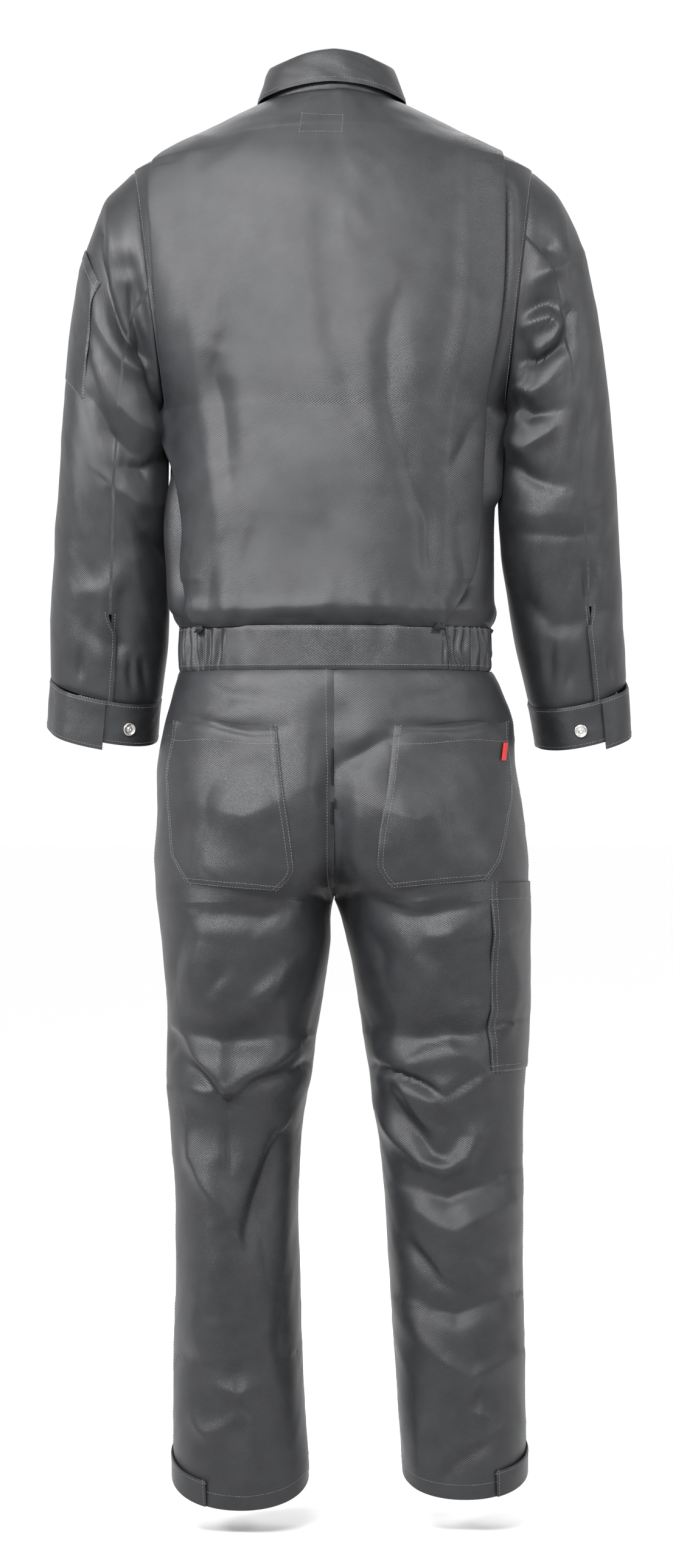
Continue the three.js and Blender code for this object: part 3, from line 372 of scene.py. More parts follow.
LEG_CREASES = creases(
    ((14, -895, 44, -912, 76, -935), 9, 3.6, 14),
    ((54, -976, 72, -1000, 93, -1023), 7, 5.0, 12),
    ((126, -982, 133, -991, 138, -1002), 7, -2.6),
    ((135, -998, 130, -1050, 122, -1112), 14, 3.8, 10),
    ((186, -1046, 152, -1078, 122, -1112), 6, 6.0, 16),
    ((122, -1112, 84, -1092, 41, -1066), 6, 6.0, 16),
    ((184, -1066, 152, -1098, 122, -1134, 84, -1108, 44, -1094), 9, -6.0, 6),
    ((44, -1094, 34, -1088, 27, -1085), 5, -3.0),
    ((122, -1130, 121, -1170, 118, -1220), 5, -3.4, 10),
    ((168, -1159, 165, -1180, 162, -1195, 142, -1228, 118, -1259), 8, 4.6, 12),
    ((59, -1171, 68, -1196, 76, -1215, 93, -1261, 107, -1292), 7, -4.6, 14),
    ((108, -1274, 107, -1284, 106, -1300), 6, 2.4),
    ((130, -1370, 128, -1385, 120, -1400), 16, 2.0),
    ((126, -1457, 116, -1459, 107, -1466, 98, -1459, 90, -1457), 5, 3.0, 7),
    ((107, -1470, 100, -1480, 95, -1492), 4, -2.2),
    ((161, -1492, 152, -1503, 145, -1509, 130, -1505, 117, -1497), 7, 3.2, 9),
    ((95, -1490, 96, -1540, 97, -1592), 12, 3.0, 7),
    ((170, -930, 178, -965, 176, -1000), 9, -2.8, 12),
    ((150, -1330, 156, -1380, 150, -1430), 12, 2.2, 16),
    ((54, -1330, 60, -1390, 56, -1440), 9, -2.2, 14),
    ((-112, -941, -140, -926, -171, -912), 12, 4.0, 9),
    ((-30, -930, -52, -962, -60, -1000), 10, -2.6, 14),
    ((-90, -965, -108, -985, -120, -1010), 12, 2.8, 16),
    ((-132, -1030, -154, -1024, -176, -1023), 14, 3.6, 10),
    ((-68, -1092, -100, -1076, -132, -1070, -157, -1085), 14, 4.0, 8),
    ((-43, -1088, -68, -1098, -92, -1107, -123, -1121, -159, -1099), 7, -6.2, 5),
    ((-63, -1112, -76, -1140, -92, -1165, -112, -1188, -132, -1193, -146, -1173), 6, -4.0, 9),
    ((-50, -1134, -62, -1156, -75, -1176, -100, -1198), 8, 5.0, 12),
    ((-100, -1198, -124, -1206, -152, -1195, -166, -1171), 8, 5.0, 12),
    ((-80, -1120, -98, -1150, -118, -1166), 8, 3.0),
    ((-95, -1256, -118, -1268, -141, -1277, -170, -1262, -197, -1245), 12, 3.8, 9),
    ((-81, -1286, -100, -1308, -117, -1331, -150, -1346), 9, -4.0, 6),
    ((-160, -1300, -180, -1312, -204, -1306), 10, -2.6, 14),
    ((-86, -1369, -104, -1398, -119, -1423, -155, -1445, -205, -1417), 13, 4.0, 9),
    ((-164, -1450, -163, -1462, -162, -1474), 5, -2.4),
    ((-160, -1481, -172, -1489, -184, -1496), 5, 2.6),
    ((-184, -1505, -172, -1518, -159, -1528, -131, -1547), 6, -3.4, 9),
    ((-90, -1480, -96, -1520, -98, -1570), 9, 2.4, 14),
    ((-196, -950, -204, -1000, -200, -1050), 9, 2.0),
)
LEG_FORMS = creases(
    ((0, -700, -2, -760, 0, -820, 0, -895), 20, -7.0),
    ((-8, -748, -30, -736, -60, -720), 12, -4.0, 9),
    ((-60, -800, -90, -812, -130, -800), 28, 4.5, 22),
    ((60, -790, 100, -806, 145, -794), 28, 4.5, 22),
    ((30, -908, 80, -926, 150, -916), 16, -5.0, 10),
    ((-30, -902, -90, -922, -170, -908), 16, -5.0, 10),
    ((186, -1056, 120, -1066, 40, -1054), 12, -8.0, 26),
    ((-56, -1054, -112, -1066, -172, -1050), 12, -8.0, 26),
    ((172, -1112, 116, -1126, 46, -1098), 16, 6.0, 12),
    ((-62, -1106, -110, -1126, -166, -1104), 16, 6.0, 12),
    ((150, -940, 160, -980, 156, -1020), 22, 4.0),
    ((-100, -930, -140, -950, -176, -940), 12, 4.0, 20),
    ((60, -1180, 80, -1260, 74, -1340), 22, -4.0),
    ((140, -1200, 136, -1290, 144, -1380), 20, 4.0),
    ((-90, -1230, -130, -1240, -180, -1220), 10, -5.0, 22),
    ((-100, -1360, -140, -1372, -200, -1350), 10, -5.0, 22),
    ((60, -1420, 110, -1436, 170, -1420), 12, -3.5, 22),
)
SEAT_CREASES = creases(
    ((176, -692, 150, -701, 120, -707, 90, -709, 60, -707), 3.6, -2.2, 8),
    ((-66, -706, -90, -704, -118, -707, -145, -709, -181, -704, -196, -694), 3.6, -2.2, 8),
    ((150, -655, 120, -668, 80, -676), 8, -1.8, 12),
    ((-150, -655, -120, -668, -80, -676), 8, -1.8, 12),
    ((30, -730, 26, -790, 20, -850), 14, 1.8, 20),
    ((-30, -740, -28, -800, -24, -860), 14, 1.8, 20),
    ((60, -890, 110, -898, 160, -888), 12, -2.2, 16),
    ((-60, -888, -110, -896, -160, -884), 12, -2.2, 16),
)
LEG_FRONT_CREASES = creases(
    ((30, -850, 80, -868, 140, -856), 10, -3.0, 14),
    ((-30, -850, -80, -868, -140, -856), 10, -3.0, 14),
    ((20, -900, 66, -930, 120, -936), 12, 3.4, 9),
    ((-20, -900, -66, -930, -120, -936), 12, 3.4, 9),
    ((60, -1090, 110, -1110, 170, -1092), 12, -4.0, 9),
    ((-66, -1090, -130, -1112, -190, -1094), 12, -4.0, 9),
    ((60, -1140, 112, -1160, 168, -1146), 12, 3.6, 9),
    ((-72, -1140, -132, -1162, -196, -1146), 12, 3.6, 9),
    ((70, -1440, 110, -1466, 160, -1450), 12, 3.4, 9),
    ((-90, -1440, -136, -1466, -196, -1450), 12, 3.4, 9),
    ((60, -1500, 104, -1522, 156, -1508), 10, -3.4, 12),
    ((-90, -1496, -140, -1520, -196, -1504), 10, -3.4, 12),
)


# Grids of cloth


@dataclass
class Grid:
    """Points of one panel with their way out, and its size before folding.

    Args:
        points: rows and columns of points, in millimetres.
        normals: the way out at each.
        closed: whether the last column meets the first.
        keep: which cells are cloth, all of them where it is None.
    """

    points: Array
    normals: Array
    closed: bool = False
    keep: Array | None = None

    def moved(self, lift: Array | float) -> "Grid":
        """The same grid moved out.

        Args:
            lift: how far, at each point or everywhere.

        Returns:
            A new grid.
        """
        step = np.broadcast_to(np.asarray(lift, float), self.points.shape[:2])
        return Grid(self.points + self.normals * step[..., None], self.normals, self.closed, self.keep)

    def with_allowance(self, edges: tuple[str, ...], depth: float) -> "Grid":
        """Adds a strip turned in along some edges, as a seam has inside.

        Args:
            edges: which edges.
            depth: how wide the strip is.

        Returns:
            A larger grid.
        """
        points, normals, keep = self.points, self.normals, self.keep
        for edge in edges:
            axis = 0 if edge.endswith("row") else 1
            at = 0 if edge.startswith("first") else -1
            strip = np.take(points, [at], axis=axis) - np.take(normals, [at], axis=axis) * depth
            way = np.take(normals, [at], axis=axis)
            parts = [strip, points] if at == 0 else [points, strip]
            ways = [way, normals] if at == 0 else [normals, way]
            points, normals = np.concatenate(parts, axis=axis), np.concatenate(ways, axis=axis)
            if keep is not None:
                side = np.take(keep, [at], axis=axis)
                keep = np.concatenate([side, keep] if at == 0 else [keep, side], axis=axis)
        return Grid(points, normals, self.closed, keep)

    def refreshed(self) -> "Grid":
        """The same grid with its way out measured again."""
        normals = normals_of(self.points, self.closed, self.normals)
        return Grid(self.points, normals, self.closed, self.keep)

    def across(self) -> Array:
        """Distance from the first column along each row."""
        step = np.linalg.norm(np.diff(self.points, axis=1), axis=-1)
        return np.concatenate([np.zeros((len(step), 1)), np.cumsum(step, axis=1)], axis=1)

    def down(self) -> Array:
        """Distance from the first row along each column."""
        step = np.linalg.norm(np.diff(self.points, axis=0), axis=-1)
        return np.concatenate([np.zeros((1, step.shape[1])), np.cumsum(step, axis=0)], axis=0)

    def distance(self, edge: str) -> Array:
        """How far each point is from one edge, along the cloth."""
        if edge.endswith("row"):
            down = self.down()
            return down if edge.startswith("first") else down[-1:] - down
        across = self.across()
        return across if edge.startswith("first") else across[:, -1:] - across

    def area(self) -> float:
        """The area of the cloth, in square millimetres."""
        a = self.points[1:, 1:] - self.points[:-1, :-1]
        b = self.points[1:, :-1] - self.points[:-1, 1:]
        return float(np.linalg.norm(np.cross(a, b), axis=-1).sum() / 2)

    def inside(self, edge: str, inset: float) -> tuple[Array, Array]:
        """A line on the cloth at a distance from one of its edges.

        Args:
            edge: first_column, last_column, first_row or last_row.
            inset: the distance from that edge.

        Returns:
            The points and the way out at each.
        """
        points, normals = self.points, self.normals
        if edge.endswith("row"):
            points, normals = points.swapaxes(0, 1), normals.swapaxes(0, 1)
        if edge.startswith("last"):
            points, normals = points[:, ::-1], normals[:, ::-1]
        step = np.linalg.norm(np.diff(points, axis=1), axis=-1)
        reach = np.concatenate([np.zeros((len(step), 1)), np.cumsum(step, axis=1)], axis=1)
        line, out = [], []
        for row, way, far in zip(points, normals, reach):
            line.append([np.interp(inset, far, row[:, k]) for k in range(3)])
            out.append([np.interp(inset, far, way[:, k]) for k in range(3)])
        return np.array(line), unit(np.array(out))


def normals_of(points: Array, closed: bool, guide: Array) -> Array:
    """The way out of a grid of points.

    Args:
        points: rows and columns of points.
        closed: whether the columns close a ring.
        guide: directions that point roughly out.

    Returns:
        A unit vector at each point.
    """
    if closed:
        ring = np.concatenate([points[:, -2:], points, points[:, :2]], axis=1)
        across = np.gradient(ring, axis=1)[:, 2:-2]
    else:
        across = np.gradient(points, axis=1)
    down = np.gradient(points, axis=0)
    out = unit(np.cross(across, down))
    flip = np.sign((out * guide).sum(-1, keepdims=True))
    return out * np.where(flip == 0, 1, flip)


PUCKER_SIZE = 9.0
PUCKER_REACH = 13.0


@dataclass(frozen=True)
class Roll:
    """How a panel's edges dip into their seams.

    Args:
        edges: the edges that are sewn.
        depth: how deep, in millimetres.
        width: how far the dip reaches in.
        pucker: height of the small waves beside the seam.
    """

    edges: tuple[str, ...] = (*COLUMNS, *ROWS)
    depth: float = 1.1
    width: float = 2.6
    pucker: float = 0.35

    def lift(self, grid: Grid, seed: int) -> Array:
        """The dip and the small waves of every sewn edge.

        Args:
            grid: the panel.
            seed: which waves.

        Returns:
            The lift at each point.
        """
        across, down = grid.across(), grid.down()
        total = np.zeros(across.shape)
        for k, edge in enumerate(self.edges):
            far = grid.distance(edge)
            along = down if edge.endswith("column") else across
            total -= self.depth * bell(far, self.width)
            waves = ripple(along, far * 0.35 + 40 * k, PUCKER_SIZE, seed + k)
            total += self.pucker * waves * bell(far, PUCKER_REACH) * smooth(far / 3.0)
        return total


# The forms of the garment, as its solids have them

WAIST_SEAM = -594.0
BAND_SEAM = -643.0
CROTCH = -900.0
UNDERARM = -350.0
SHOULDER_TIP = -77.0
BODY_SHAPE = 2.3
ARM_SHAPE = 2.15
LEG_SHAPE = 2.15
CLOTH = 2.0
LAY_GAP = 0.8
NECK_POINT = {Side.LEFT: 77.0, Side.RIGHT: 71.0}
ARMHOLE_TOP = {Side.LEFT: 226.0, Side.RIGHT: 224.0}
ARMHOLE_LOW = {Side.LEFT: 190.0, Side.RIGHT: 192.0}
ARMHOLE_HALF = 77.0

BODICE_SIDES = Table(
    ("z", "left", "right"),
    (
        (-594, 175.5, 178), (-583, 180, 180), (-560, 183, 181), (-520, 185.5, 181.5),
        (-470, 186.5, 182), (-420, 186, 184.5), (-385, 185.5, 186), (-350, 190, 192),
    ),
)
BODICE_CENTRES = Table(
    ("row", "back_z", "back", "front_z", "front"),
    (
        (0.0, -594, 124, -594, 133), (0.05, -582, 132, -582, 140), (0.12, -565, 136, -565, 145),
        (0.35, -509, 137, -509, 148), (0.7, -423, 139, -423, 151), (1.0, -350, 138, -350, 150),
        (1.3, -297, 137, -305, 146), (1.55, -195, 130, -225, 134), (1.8, -95, 113, -152, 113),
        (2.0, -52, 98, -125, 101), (2.5, -18, 79, -99, 88), (3.0, 10, 62, -75, 77),
    ),
)
PLEAT_EDGES = Table(
    ("z", "left", "right"),
    (
        (-598, 150, 118), (-540, 166, 152), (-480, 166, 160), (-400, 178, 163), (-330, 188, 168),
        (-240, 196, 184), (-155, 202, 188), (-85, 204, 188), (-57, 188, 186),
    ),
)
SLEEVE_NAMES = ("share", "out_x", "out_z", "in_x", "in_z", "y", "half", "hang")
SLEEVE_TABLES = {
    Side.LEFT: Table(
        SLEEVE_NAMES,
        (
            (0.0, 226, -77, 190, -350, 0, 77, 0), (0.08, 256, -109, 194, -364, 0, 77, 0),
            (0.2, 280, -166, 189.5, -382, 1, 74, 2), (0.32, 292, -226, 188.5, -404, 2, 70, 3),
            (0.44, 301, -292, 189, -432, 2, 66, 4), (0.56, 308, -362, 189.5, -462, 0, 63, 5),
            (0.68, 313, -434, 189, -503, -8, 62, 7), (0.8, 319, -510, 187.5, -553, -20, 62, 9),
            (0.9, 323, -580, 189, -610, -32, 62, 12), (1.0, 324, -648, 197, -672, -44, 58, 15),
            (1.1, 328, -703, 202, -727, -50, 56, 15),
        ),
    ),
    Side.RIGHT: Table(
        SLEEVE_NAMES,
        (
            (0.0, 224, -77, 192, -350, 0, 77, 0), (0.08, 256, -107, 195, -365, 0, 77, 0),
            (0.2, 281, -164, 190, -386, 1, 74, 2), (0.32, 294, -220, 188.5, -408, 2, 70, 3),
            (0.44, 305, -285, 187, -436, 2, 66, 4), (0.56, 314, -358, 188, -470, 0, 63, 5),
            (0.68, 320, -432, 189.5, -512, -8, 62, 7), (0.8, 325, -508, 197, -556, -20, 61, 9),
            (0.9, 330, -580, 206, -610, -32, 60, 12), (1.0, 334, -653, 222, -677, -44, 56, 15),
            (1.1, 338, -709, 231, -732, -50, 54, 15),
        ),
    ),
}
LEG_NAMES = ("z", "out", "in", "back", "front", "hang")
LEG_TABLES = {
    Side.LEFT: Table(
        LEG_NAMES,
        (
            (-643, 176, -176, 124, 133, 0), (-660, 180, -180, 130, 135, 0),
            (-700, 192, -190, 138, 136, 0), (-750, 201, -180, 144, 134, 0),
            (-800, 201, -140, 145, 130, 0), (-850, 203, -75, 140, 122, 0),
            (-885, 202, -20, 132, 116, 0), (-901, 201, 0.6, 127, 113, 0), (-950, 195, 4, 117, 108, 0),
            (-1020, 190, 14, 104, 100, 0), (-1089, 190, 25, 90, 92, 2), (-1150, 185, 35, 80, 86, 4),
            (-1230, 180, 40, 82, 76, 8), (-1320, 179, 38, 82, 70, 14), (-1430, 182, 35, 74, 66, 22),
            (-1550, 181, 28, 66, 64, 33),
        ),
    ),
    Side.RIGHT: Table(
        LEG_NAMES,
        (
            (-643, 180, -180, 124, 133, 0), (-660, 188, -186, 130, 135, 0),
            (-700, 202, -194, 138, 136, 0), (-750, 206, -184, 144, 134, 0),
            (-800, 213, -142, 145, 130, 0), (-850, 219, -72, 140, 122, 0),
            (-885, 220, -18, 132, 116, 0), (-901, 221, 0.6, 127, 113, 0), (-950, 220, 15, 117, 108, 0),
            (-1020, 219, 28, 104, 100, 0), (-1089, 217, 39, 90, 92, 2), (-1150, 215, 48, 80, 86, 4),
            (-1230, 215, 57, 82, 76, 8), (-1320, 215, 62, 82, 70, 12), (-1430, 217, 69, 74, 66, 18),
            (-1545, 217, 77, 66, 64, 26),
        ),
    ),
}
HEM = {Side.LEFT: -1550.0, Side.RIGHT: -1545.0}


class Bodice:
    """The form of the upper part, row 0 at the waist seam and row 3 at the neckline."""

    def edge(self, side: Side, row: Array, facing: Facing) -> Array:
        """Where rows end: the side seam, the armhole or the shoulder seam.

        Args:
            side: the wearer's side.
            row: the rows.
            facing: back or front.

        Returns:
            A point for each row.
        """
        row = np.asarray(row, float)
        level = mix(WAIST_SEAM, UNDERARM, np.clip(row, 0, 1))
        low = np.stack([side.value * BODICE_SIDES.at(side.word, level), 0 * row, level], -1)
        hole = armhole(side, facing.value * math.pi * (2 - np.clip(row, 1, 2)))
        t = np.clip(row - 2, 0, 1)
        x = mix(ARMHOLE_TOP[side], NECK_POINT[side], t)
        ridge = np.stack([side.value * x, 0 * row, SHOULDER_TIP * (1 - t) ** 1.08], -1)
        return np.where((row <= 1)[..., None], low, np.where((row <= 2)[..., None], hole, ridge))

    def ring(self, side: Side, row: Array, facing: Facing) -> dict[str, Array]:
        """The section of the bodice at each row.

        Args:
            side: the wearer's side.
            row: the rows.
            facing: back or front.

        Returns:
            Its edge, depth, level, reach and end angle.
        """
        edge = self.edge(side, row, facing)
        depth = BODICE_CENTRES.at(facing.word, row)
        level = BODICE_CENTRES.at(f"{facing.word}_z", row)
        cut = np.clip(np.abs(edge[..., 1]) / depth, 0, 0.95) ** BODY_SHAPE
        reach = np.abs(edge[..., 0]) / (1 - cut) ** (1 / BODY_SHAPE)
        share = np.clip(np.abs(edge[..., 0]) / reach, 0, 1)
        return {
            "edge": edge,
            "depth": depth,
            "level": level,
            "reach": reach,
            "end": np.arcsin(share ** (BODY_SHAPE / 2)),
        }

    def angle_at(self, ring: dict[str, Array], x: Array) -> Array:
        """The angle at which a section has a given x."""
        share = np.clip(np.abs(x) / ring["reach"], 0, 1)
        return np.minimum(np.arcsin(share ** (BODY_SHAPE / 2)), ring["end"])

    def points(self, side: Side, row: Array, angle: Array, facing: Facing) -> Array:
        """Points of the form.

        Args:
            side: the wearer's side.
            row: the row of each point.
            angle: its angle from the centre line.
            facing: back or front.

        Returns:
            The points.
        """
        ring = self.ring(side, row, facing)
        x = ring["reach"] * np.abs(np.sin(angle)) ** (2 / BODY_SHAPE)
        y = ring["depth"] * np.clip(np.cos(angle), 0, None) ** (2 / BODY_SHAPE)
        share = np.clip(x / np.abs(ring["edge"][..., 0]), 0, 1)
        z = mix(ring["level"], ring["edge"][..., 2], share**2)
        return np.stack([side.value * x, facing.value * y, z], -1)


def armhole(side: Side, turn: Array) -> Array:
    """Points of the armhole: turn 0 is the shoulder tip and half a turn the underarm."""
    up = (sign_pow(np.cos(turn), 2 / ARM_SHAPE) + 1) / 2
    back = sign_pow(np.sin(turn), 2 / ARM_SHAPE)
    x = mix(ARMHOLE_LOW[side], ARMHOLE_TOP[side], up)
    return np.stack([side.value * x, ARMHOLE_HALF * back, mix(UNDERARM, SHOULDER_TIP, up)], -1)


class Sleeve:
    """The form of one sleeve, share 0 at the armhole and share 1 at the cuff."""

    def __init__(self, side: Side) -> None:
        """Keeps the side and its table."""
        self.side = side
        self.table = SLEEVE_TABLES[side]

    def points(self, share: Array, turn: Array) -> Array:
        """Points of the form.

        Args:
            share: the place along the arm.
            turn: the angle round it, 0 outside and a quarter turn at the back.

        Returns:
            The points.
        """
        out = sign_pow(np.cos(turn), 2 / ARM_SHAPE)
        back = sign_pow(np.sin(turn), 2 / ARM_SHAPE)
        t = (out + 1) / 2
        at = {name: self.table.at(name, share) for name in SLEEVE_NAMES[1:]}
        x = self.side.value * mix(at["in_x"], at["out_x"], t)
        y = at["y"] + at["half"] * back
        z = mix(at["in_z"], at["out_z"], t) - at["hang"] * back
        return np.stack([x, y, z], -1)


class Leg:
    """The form of one side of the trousers, from the waistband to the hem."""

    def __init__(self, side: Side) -> None:
        """Keeps the side and its table."""
        self.side = side
        self.table = LEG_TABLES[side]

    def shape(self, z: Array) -> tuple[Array, Array, Array]:
        """The middle, the half width and the exponent of the section at a level."""
        out, inner = self.table.at("out", z), self.table.at("in", z)
        exponent = mix(BODY_SHAPE, LEG_SHAPE, smooth((BAND_SEAM - np.asarray(z)) / 120))
        return (out + inner) / 2, (out - inner) / 2, exponent

    def cut(self, z: Array) -> Array:
        """The turn at which the section meets the middle of the body or the inner seam."""
        middle, half, exponent = self.shape(z)
        inner = self.table.at("in", z)
        share = np.clip(np.abs(middle) / half, 0, 1) ** (exponent / 2)
        return np.where(inner < 0, np.arccos(-share), math.pi)

    def turn_at(self, z: Array, x: Array) -> Array:
        """The turn at which the section has a given x."""
        middle, half, exponent = self.shape(z)
        share = np.clip((x - middle) / half, -1, 1)
        return np.arccos(np.clip(sign_pow(share, exponent / 2), -1, 1))

    def points(self, z: Array, turn: Array) -> Array:
        """Points of the form.

        Args:
            z: levels at the side seam.
            turn: the angle, 0 at the side seam, above 0 at the back and below at the front.

        Returns:
            The points.
        """
        middle, half, exponent = self.shape(z)
        size = np.abs(turn)
        x = middle + half * sign_pow(np.cos(size), 2 / exponent)
        out = np.clip(np.sin(size), 0, None) ** (2 / exponent)
        facing = np.where(turn >= 0, 1, -1)
        depth = np.where(turn >= 0, self.table.at("back", z), self.table.at("front", z))
        return np.stack(
            [
                self.side.value * x,
                facing * depth * out,
                np.asarray(z) - facing * self.table.at("hang", z) * out,
            ],
            -1,
        )


# Cloth pieces


@dataclass(frozen=True)
class Fineness:
    """Rows and columns of the larger panels."""

    bodice_low: int = 76
    bodice_hole: int = 92
    bodice_top: int = 26
    back_half: int = 60
    strip: int = 22
    front: int = 46
    sleeve_rows: int = 170
    sleeve_columns: int = 128
    leg_rows: int = 236
    leg_columns: int = 88
    leg_front_rows: int = 150
    leg_front_columns: int = 52


FINE = Fineness()
BODICE = Bodice()
SLEEVE = {side: Sleeve(side) for side in Side}
LEG = {side: Leg(side) for side in Side}
UP = np.array([0.0, 0.0, 1.0])
SLIT = {Side.LEFT: 92.0, Side.RIGHT: 68.0}
SLIT_FROM = 0.86
SLIT_HALF = 1.2
SLIT_LAP = 7.0
SLIT_EASE = 16.0
SLIT_OVER = 3.4
PLEAT_UNDER = 34.0
PLEAT_RAMP = 24.0
PLEAT_LIFT = 3.2
PLEAT_FLARE = 2.0
PLEAT_TOP = 2.27
ALL_ROUND = 360.0
SLEEVE_INWARD = 1.5


def seen_lift(group: tuple[Crease, ...], grid: Grid, facing: Facing, gain: float = 1.0) -> Array:
    """Creases on the part of a panel that faces the camera, or faces away from it.

    Args:
        group: the creases, placed in the view.
        grid: the panel.
        facing: which way the creased part faces.
        gain: how much stronger they are than their heights say.

    Returns:
        The lift at each point.
    """
    x, z = VIEW.flat(grid.points)
    weight = smooth((facing.value * grid.normals[..., 1] + 0.04) / 0.34)
    return lift_of(group, x, z) * weight * gain


def slack(grid: Grid, seed: int, size: float = 46.0, height: float = 0.9) -> Array:
    """The soft unevenness that all worn cloth has."""
    across, down = grid.across(), grid.down()
    broad = ripple(across, down, size, seed) * height
    return broad + ripple(across + 0.4 * down, down, size / 2.6, seed + 5) * height * 0.3


def fade(grid: Grid, edges: tuple[str, ...], reach: float) -> Array:
    """Runs from 0 at the named edges to 1 at a distance from them."""
    total = np.ones(grid.points.shape[:2])
    for edge in edges:
        total *= smooth(grid.distance(edge) / reach)
    return total


def finished(plain: Grid, lift: Array, seed: int, roll: Roll) -> tuple[Grid, Grid]:
    """A plain panel, and the same one creased and with its sewn edges rolled in."""
    return plain, plain.moved(lift + roll.lift(plain, seed)).refreshed()


def turned_under(grid: Grid, radius: Array, back: float = 12.0) -> Grid:
    """Adds a folded edge beyond the last column.

    Args:
        grid: the panel.
        radius: half the fold's thickness, at each row.
        back: how far the cloth goes back below.

    Returns:
        The panel with its edge turned under.
    """
    edge, out = grid.points[:, -1], grid.normals[:, -1]
    away = unit(edge - grid.points[:, -3])
    r = radius[:, None]
    columns, ways = [], []
    for angle in np.linspace(0, math.pi, 7)[1:]:
        columns.append(edge + away * r * math.sin(angle) - out * r * (1 - math.cos(angle)))
        ways.append(out * math.cos(angle) + away * math.sin(angle))
    for share in (0.35, 1.0):
        columns.append(edge - out * 2 * r - away * back * share)
        ways.append(-out)
    points = np.concatenate([grid.points, np.stack(columns, 1)], axis=1)
    normals = np.concatenate([grid.normals, np.stack(ways, 1)], axis=1)
    return Grid(points, normals)


def bodice_rows(top: float = 3.0) -> Array:
    """The rows of a bodice panel, close together where the form needs it."""
    low = np.linspace(0, 1, FINE.bodice_low, endpoint=False)
    hole = 1 + np.linspace(0, 1, FINE.bodice_hole, endpoint=False)
    rest = 2 + np.linspace(0, 1, FINE.bodice_top)
    rows = np.concatenate([low, hole, rest])
    return rows if top >= 3 else np.append(rows[rows < top - 0.01], top)


SIDE_FOLD = {Side.LEFT: (-590.0, -336.0), Side.RIGHT: (-466.0, -340.0)}
FOLD_HEIGHT, FOLD_BACK, FOLD_WIDTH, FOLD_ENDS = 10.5, 36.0, 17.0, 24.0
BLOUSE_HEIGHT, BLOUSE_LEVEL, BLOUSE_WIDTH = 4.6, -576.0, 10.0
HOLLOW_DEPTH, HOLLOW_BESIDE, HOLLOW_WIDTH, HOLLOW_ENDS = 14.0, 4.0, 10.0, 30.0
HOLLOW_LEVELS = {Side.LEFT: (-575.0, -190.0), Side.RIGHT: (-575.0, -76.0)}
BLOUSE_SEED = 203


def blouse(grid: Grid, seed: int) -> Array:
    """How far the bodice hangs out over the waistband, with small puckers."""
    x, z = grid.points[..., 0], grid.points[..., 2]
    over = BLOUSE_HEIGHT * bell(z - BLOUSE_LEVEL, BLOUSE_WIDTH)
    over = over * (0.75 + 0.25 * ripple(x, z * 0.2, 46.0, seed))
    near = smooth((-545 - z) / 30) * smooth((z - WAIST_SEAM) / 8)
    beside = 1.5 + 2.5 * smooth((np.abs(x) - 95) / 40)
    return over + beside * ripple(x, z * 0.22, 13.0, seed + 1) * near


def side_fold(grid: Grid, side: Side) -> Array:
    """A soft fold down the back of the side seam, next to the sleeve."""
    y, z = grid.points[..., 1], grid.points[..., 2]
    low, high = SIDE_FOLD[side]
    return FOLD_HEIGHT * bell(y - FOLD_BACK, FOLD_WIDTH) * window(z, low, high, FOLD_ENDS)


def bodice_grid(side: Side, facing: Facing, rows: Array, angles: Array) -> Grid:
    """A panel of the bodice on its plain form."""
    points = BODICE.points(side, rows[:, None] + 0 * angles, angles, facing)
    guide = points * np.array([1.0, 1.0, 0.0]) + np.array([0.0, 0.0, 60.0])
    return Grid(points, normals_of(points, False, guide))


def back_half(side: Side) -> tuple[Grid, Grid]:
    """One half of the centre back, from the middle to its folded edge.

    Args:
        side: the wearer's side.

    Returns:
        The plain half and the creased half with its edge turned under.
    """
    rows = bodice_rows()
    ring = BODICE.ring(side, rows, Facing.BACK)
    edge = PLEAT_EDGES.at(side.word, ring["edge"][:, 2])
    opened = smooth((PLEAT_TOP + 0.03 - rows) / 0.03)
    folded = BODICE.angle_at(ring, edge)
    last = np.where(rows < PLEAT_TOP, folded, ring["end"])
    share = np.linspace(0, 1, FINE.back_half) ** 0.92
    angles = last[:, None] * share
    plain = bodice_grid(side, Facing.BACK, rows, angles)
    inside = edge[:, None] - np.abs(plain.points[..., 0])
    start = smooth((PLEAT_UNDER + PLEAT_RAMP - inside) / PLEAT_RAMP)
    loose = np.where((rows > 0.2) & (rows < 1.9), 1.0, 0.2)[:, None]
    flare = smooth((PLEAT_UNDER - inside) / PLEAT_UNDER) * loose
    closing = 1 - smooth((rows - PLEAT_TOP) / 0.35)[:, None]
    lift = (PLEAT_LIFT * start + PLEAT_FLARE * flare) * closing
    lift += seen_lift(BODICE_CREASES, plain, Facing.BACK, BODICE_GAIN) * smooth(rows / 0.1)[:, None]
    lift += slack(plain, 11 + side.value) * smooth(rows / 0.1)[:, None]
    lift += blouse(plain, BLOUSE_SEED) + side_fold(plain, side)
    creased = plain.moved(lift).refreshed()
    radius = 0.15 + 1.45 * opened * smooth(rows / 0.05 + 0.2)
    return plain, turned_under(creased, radius)


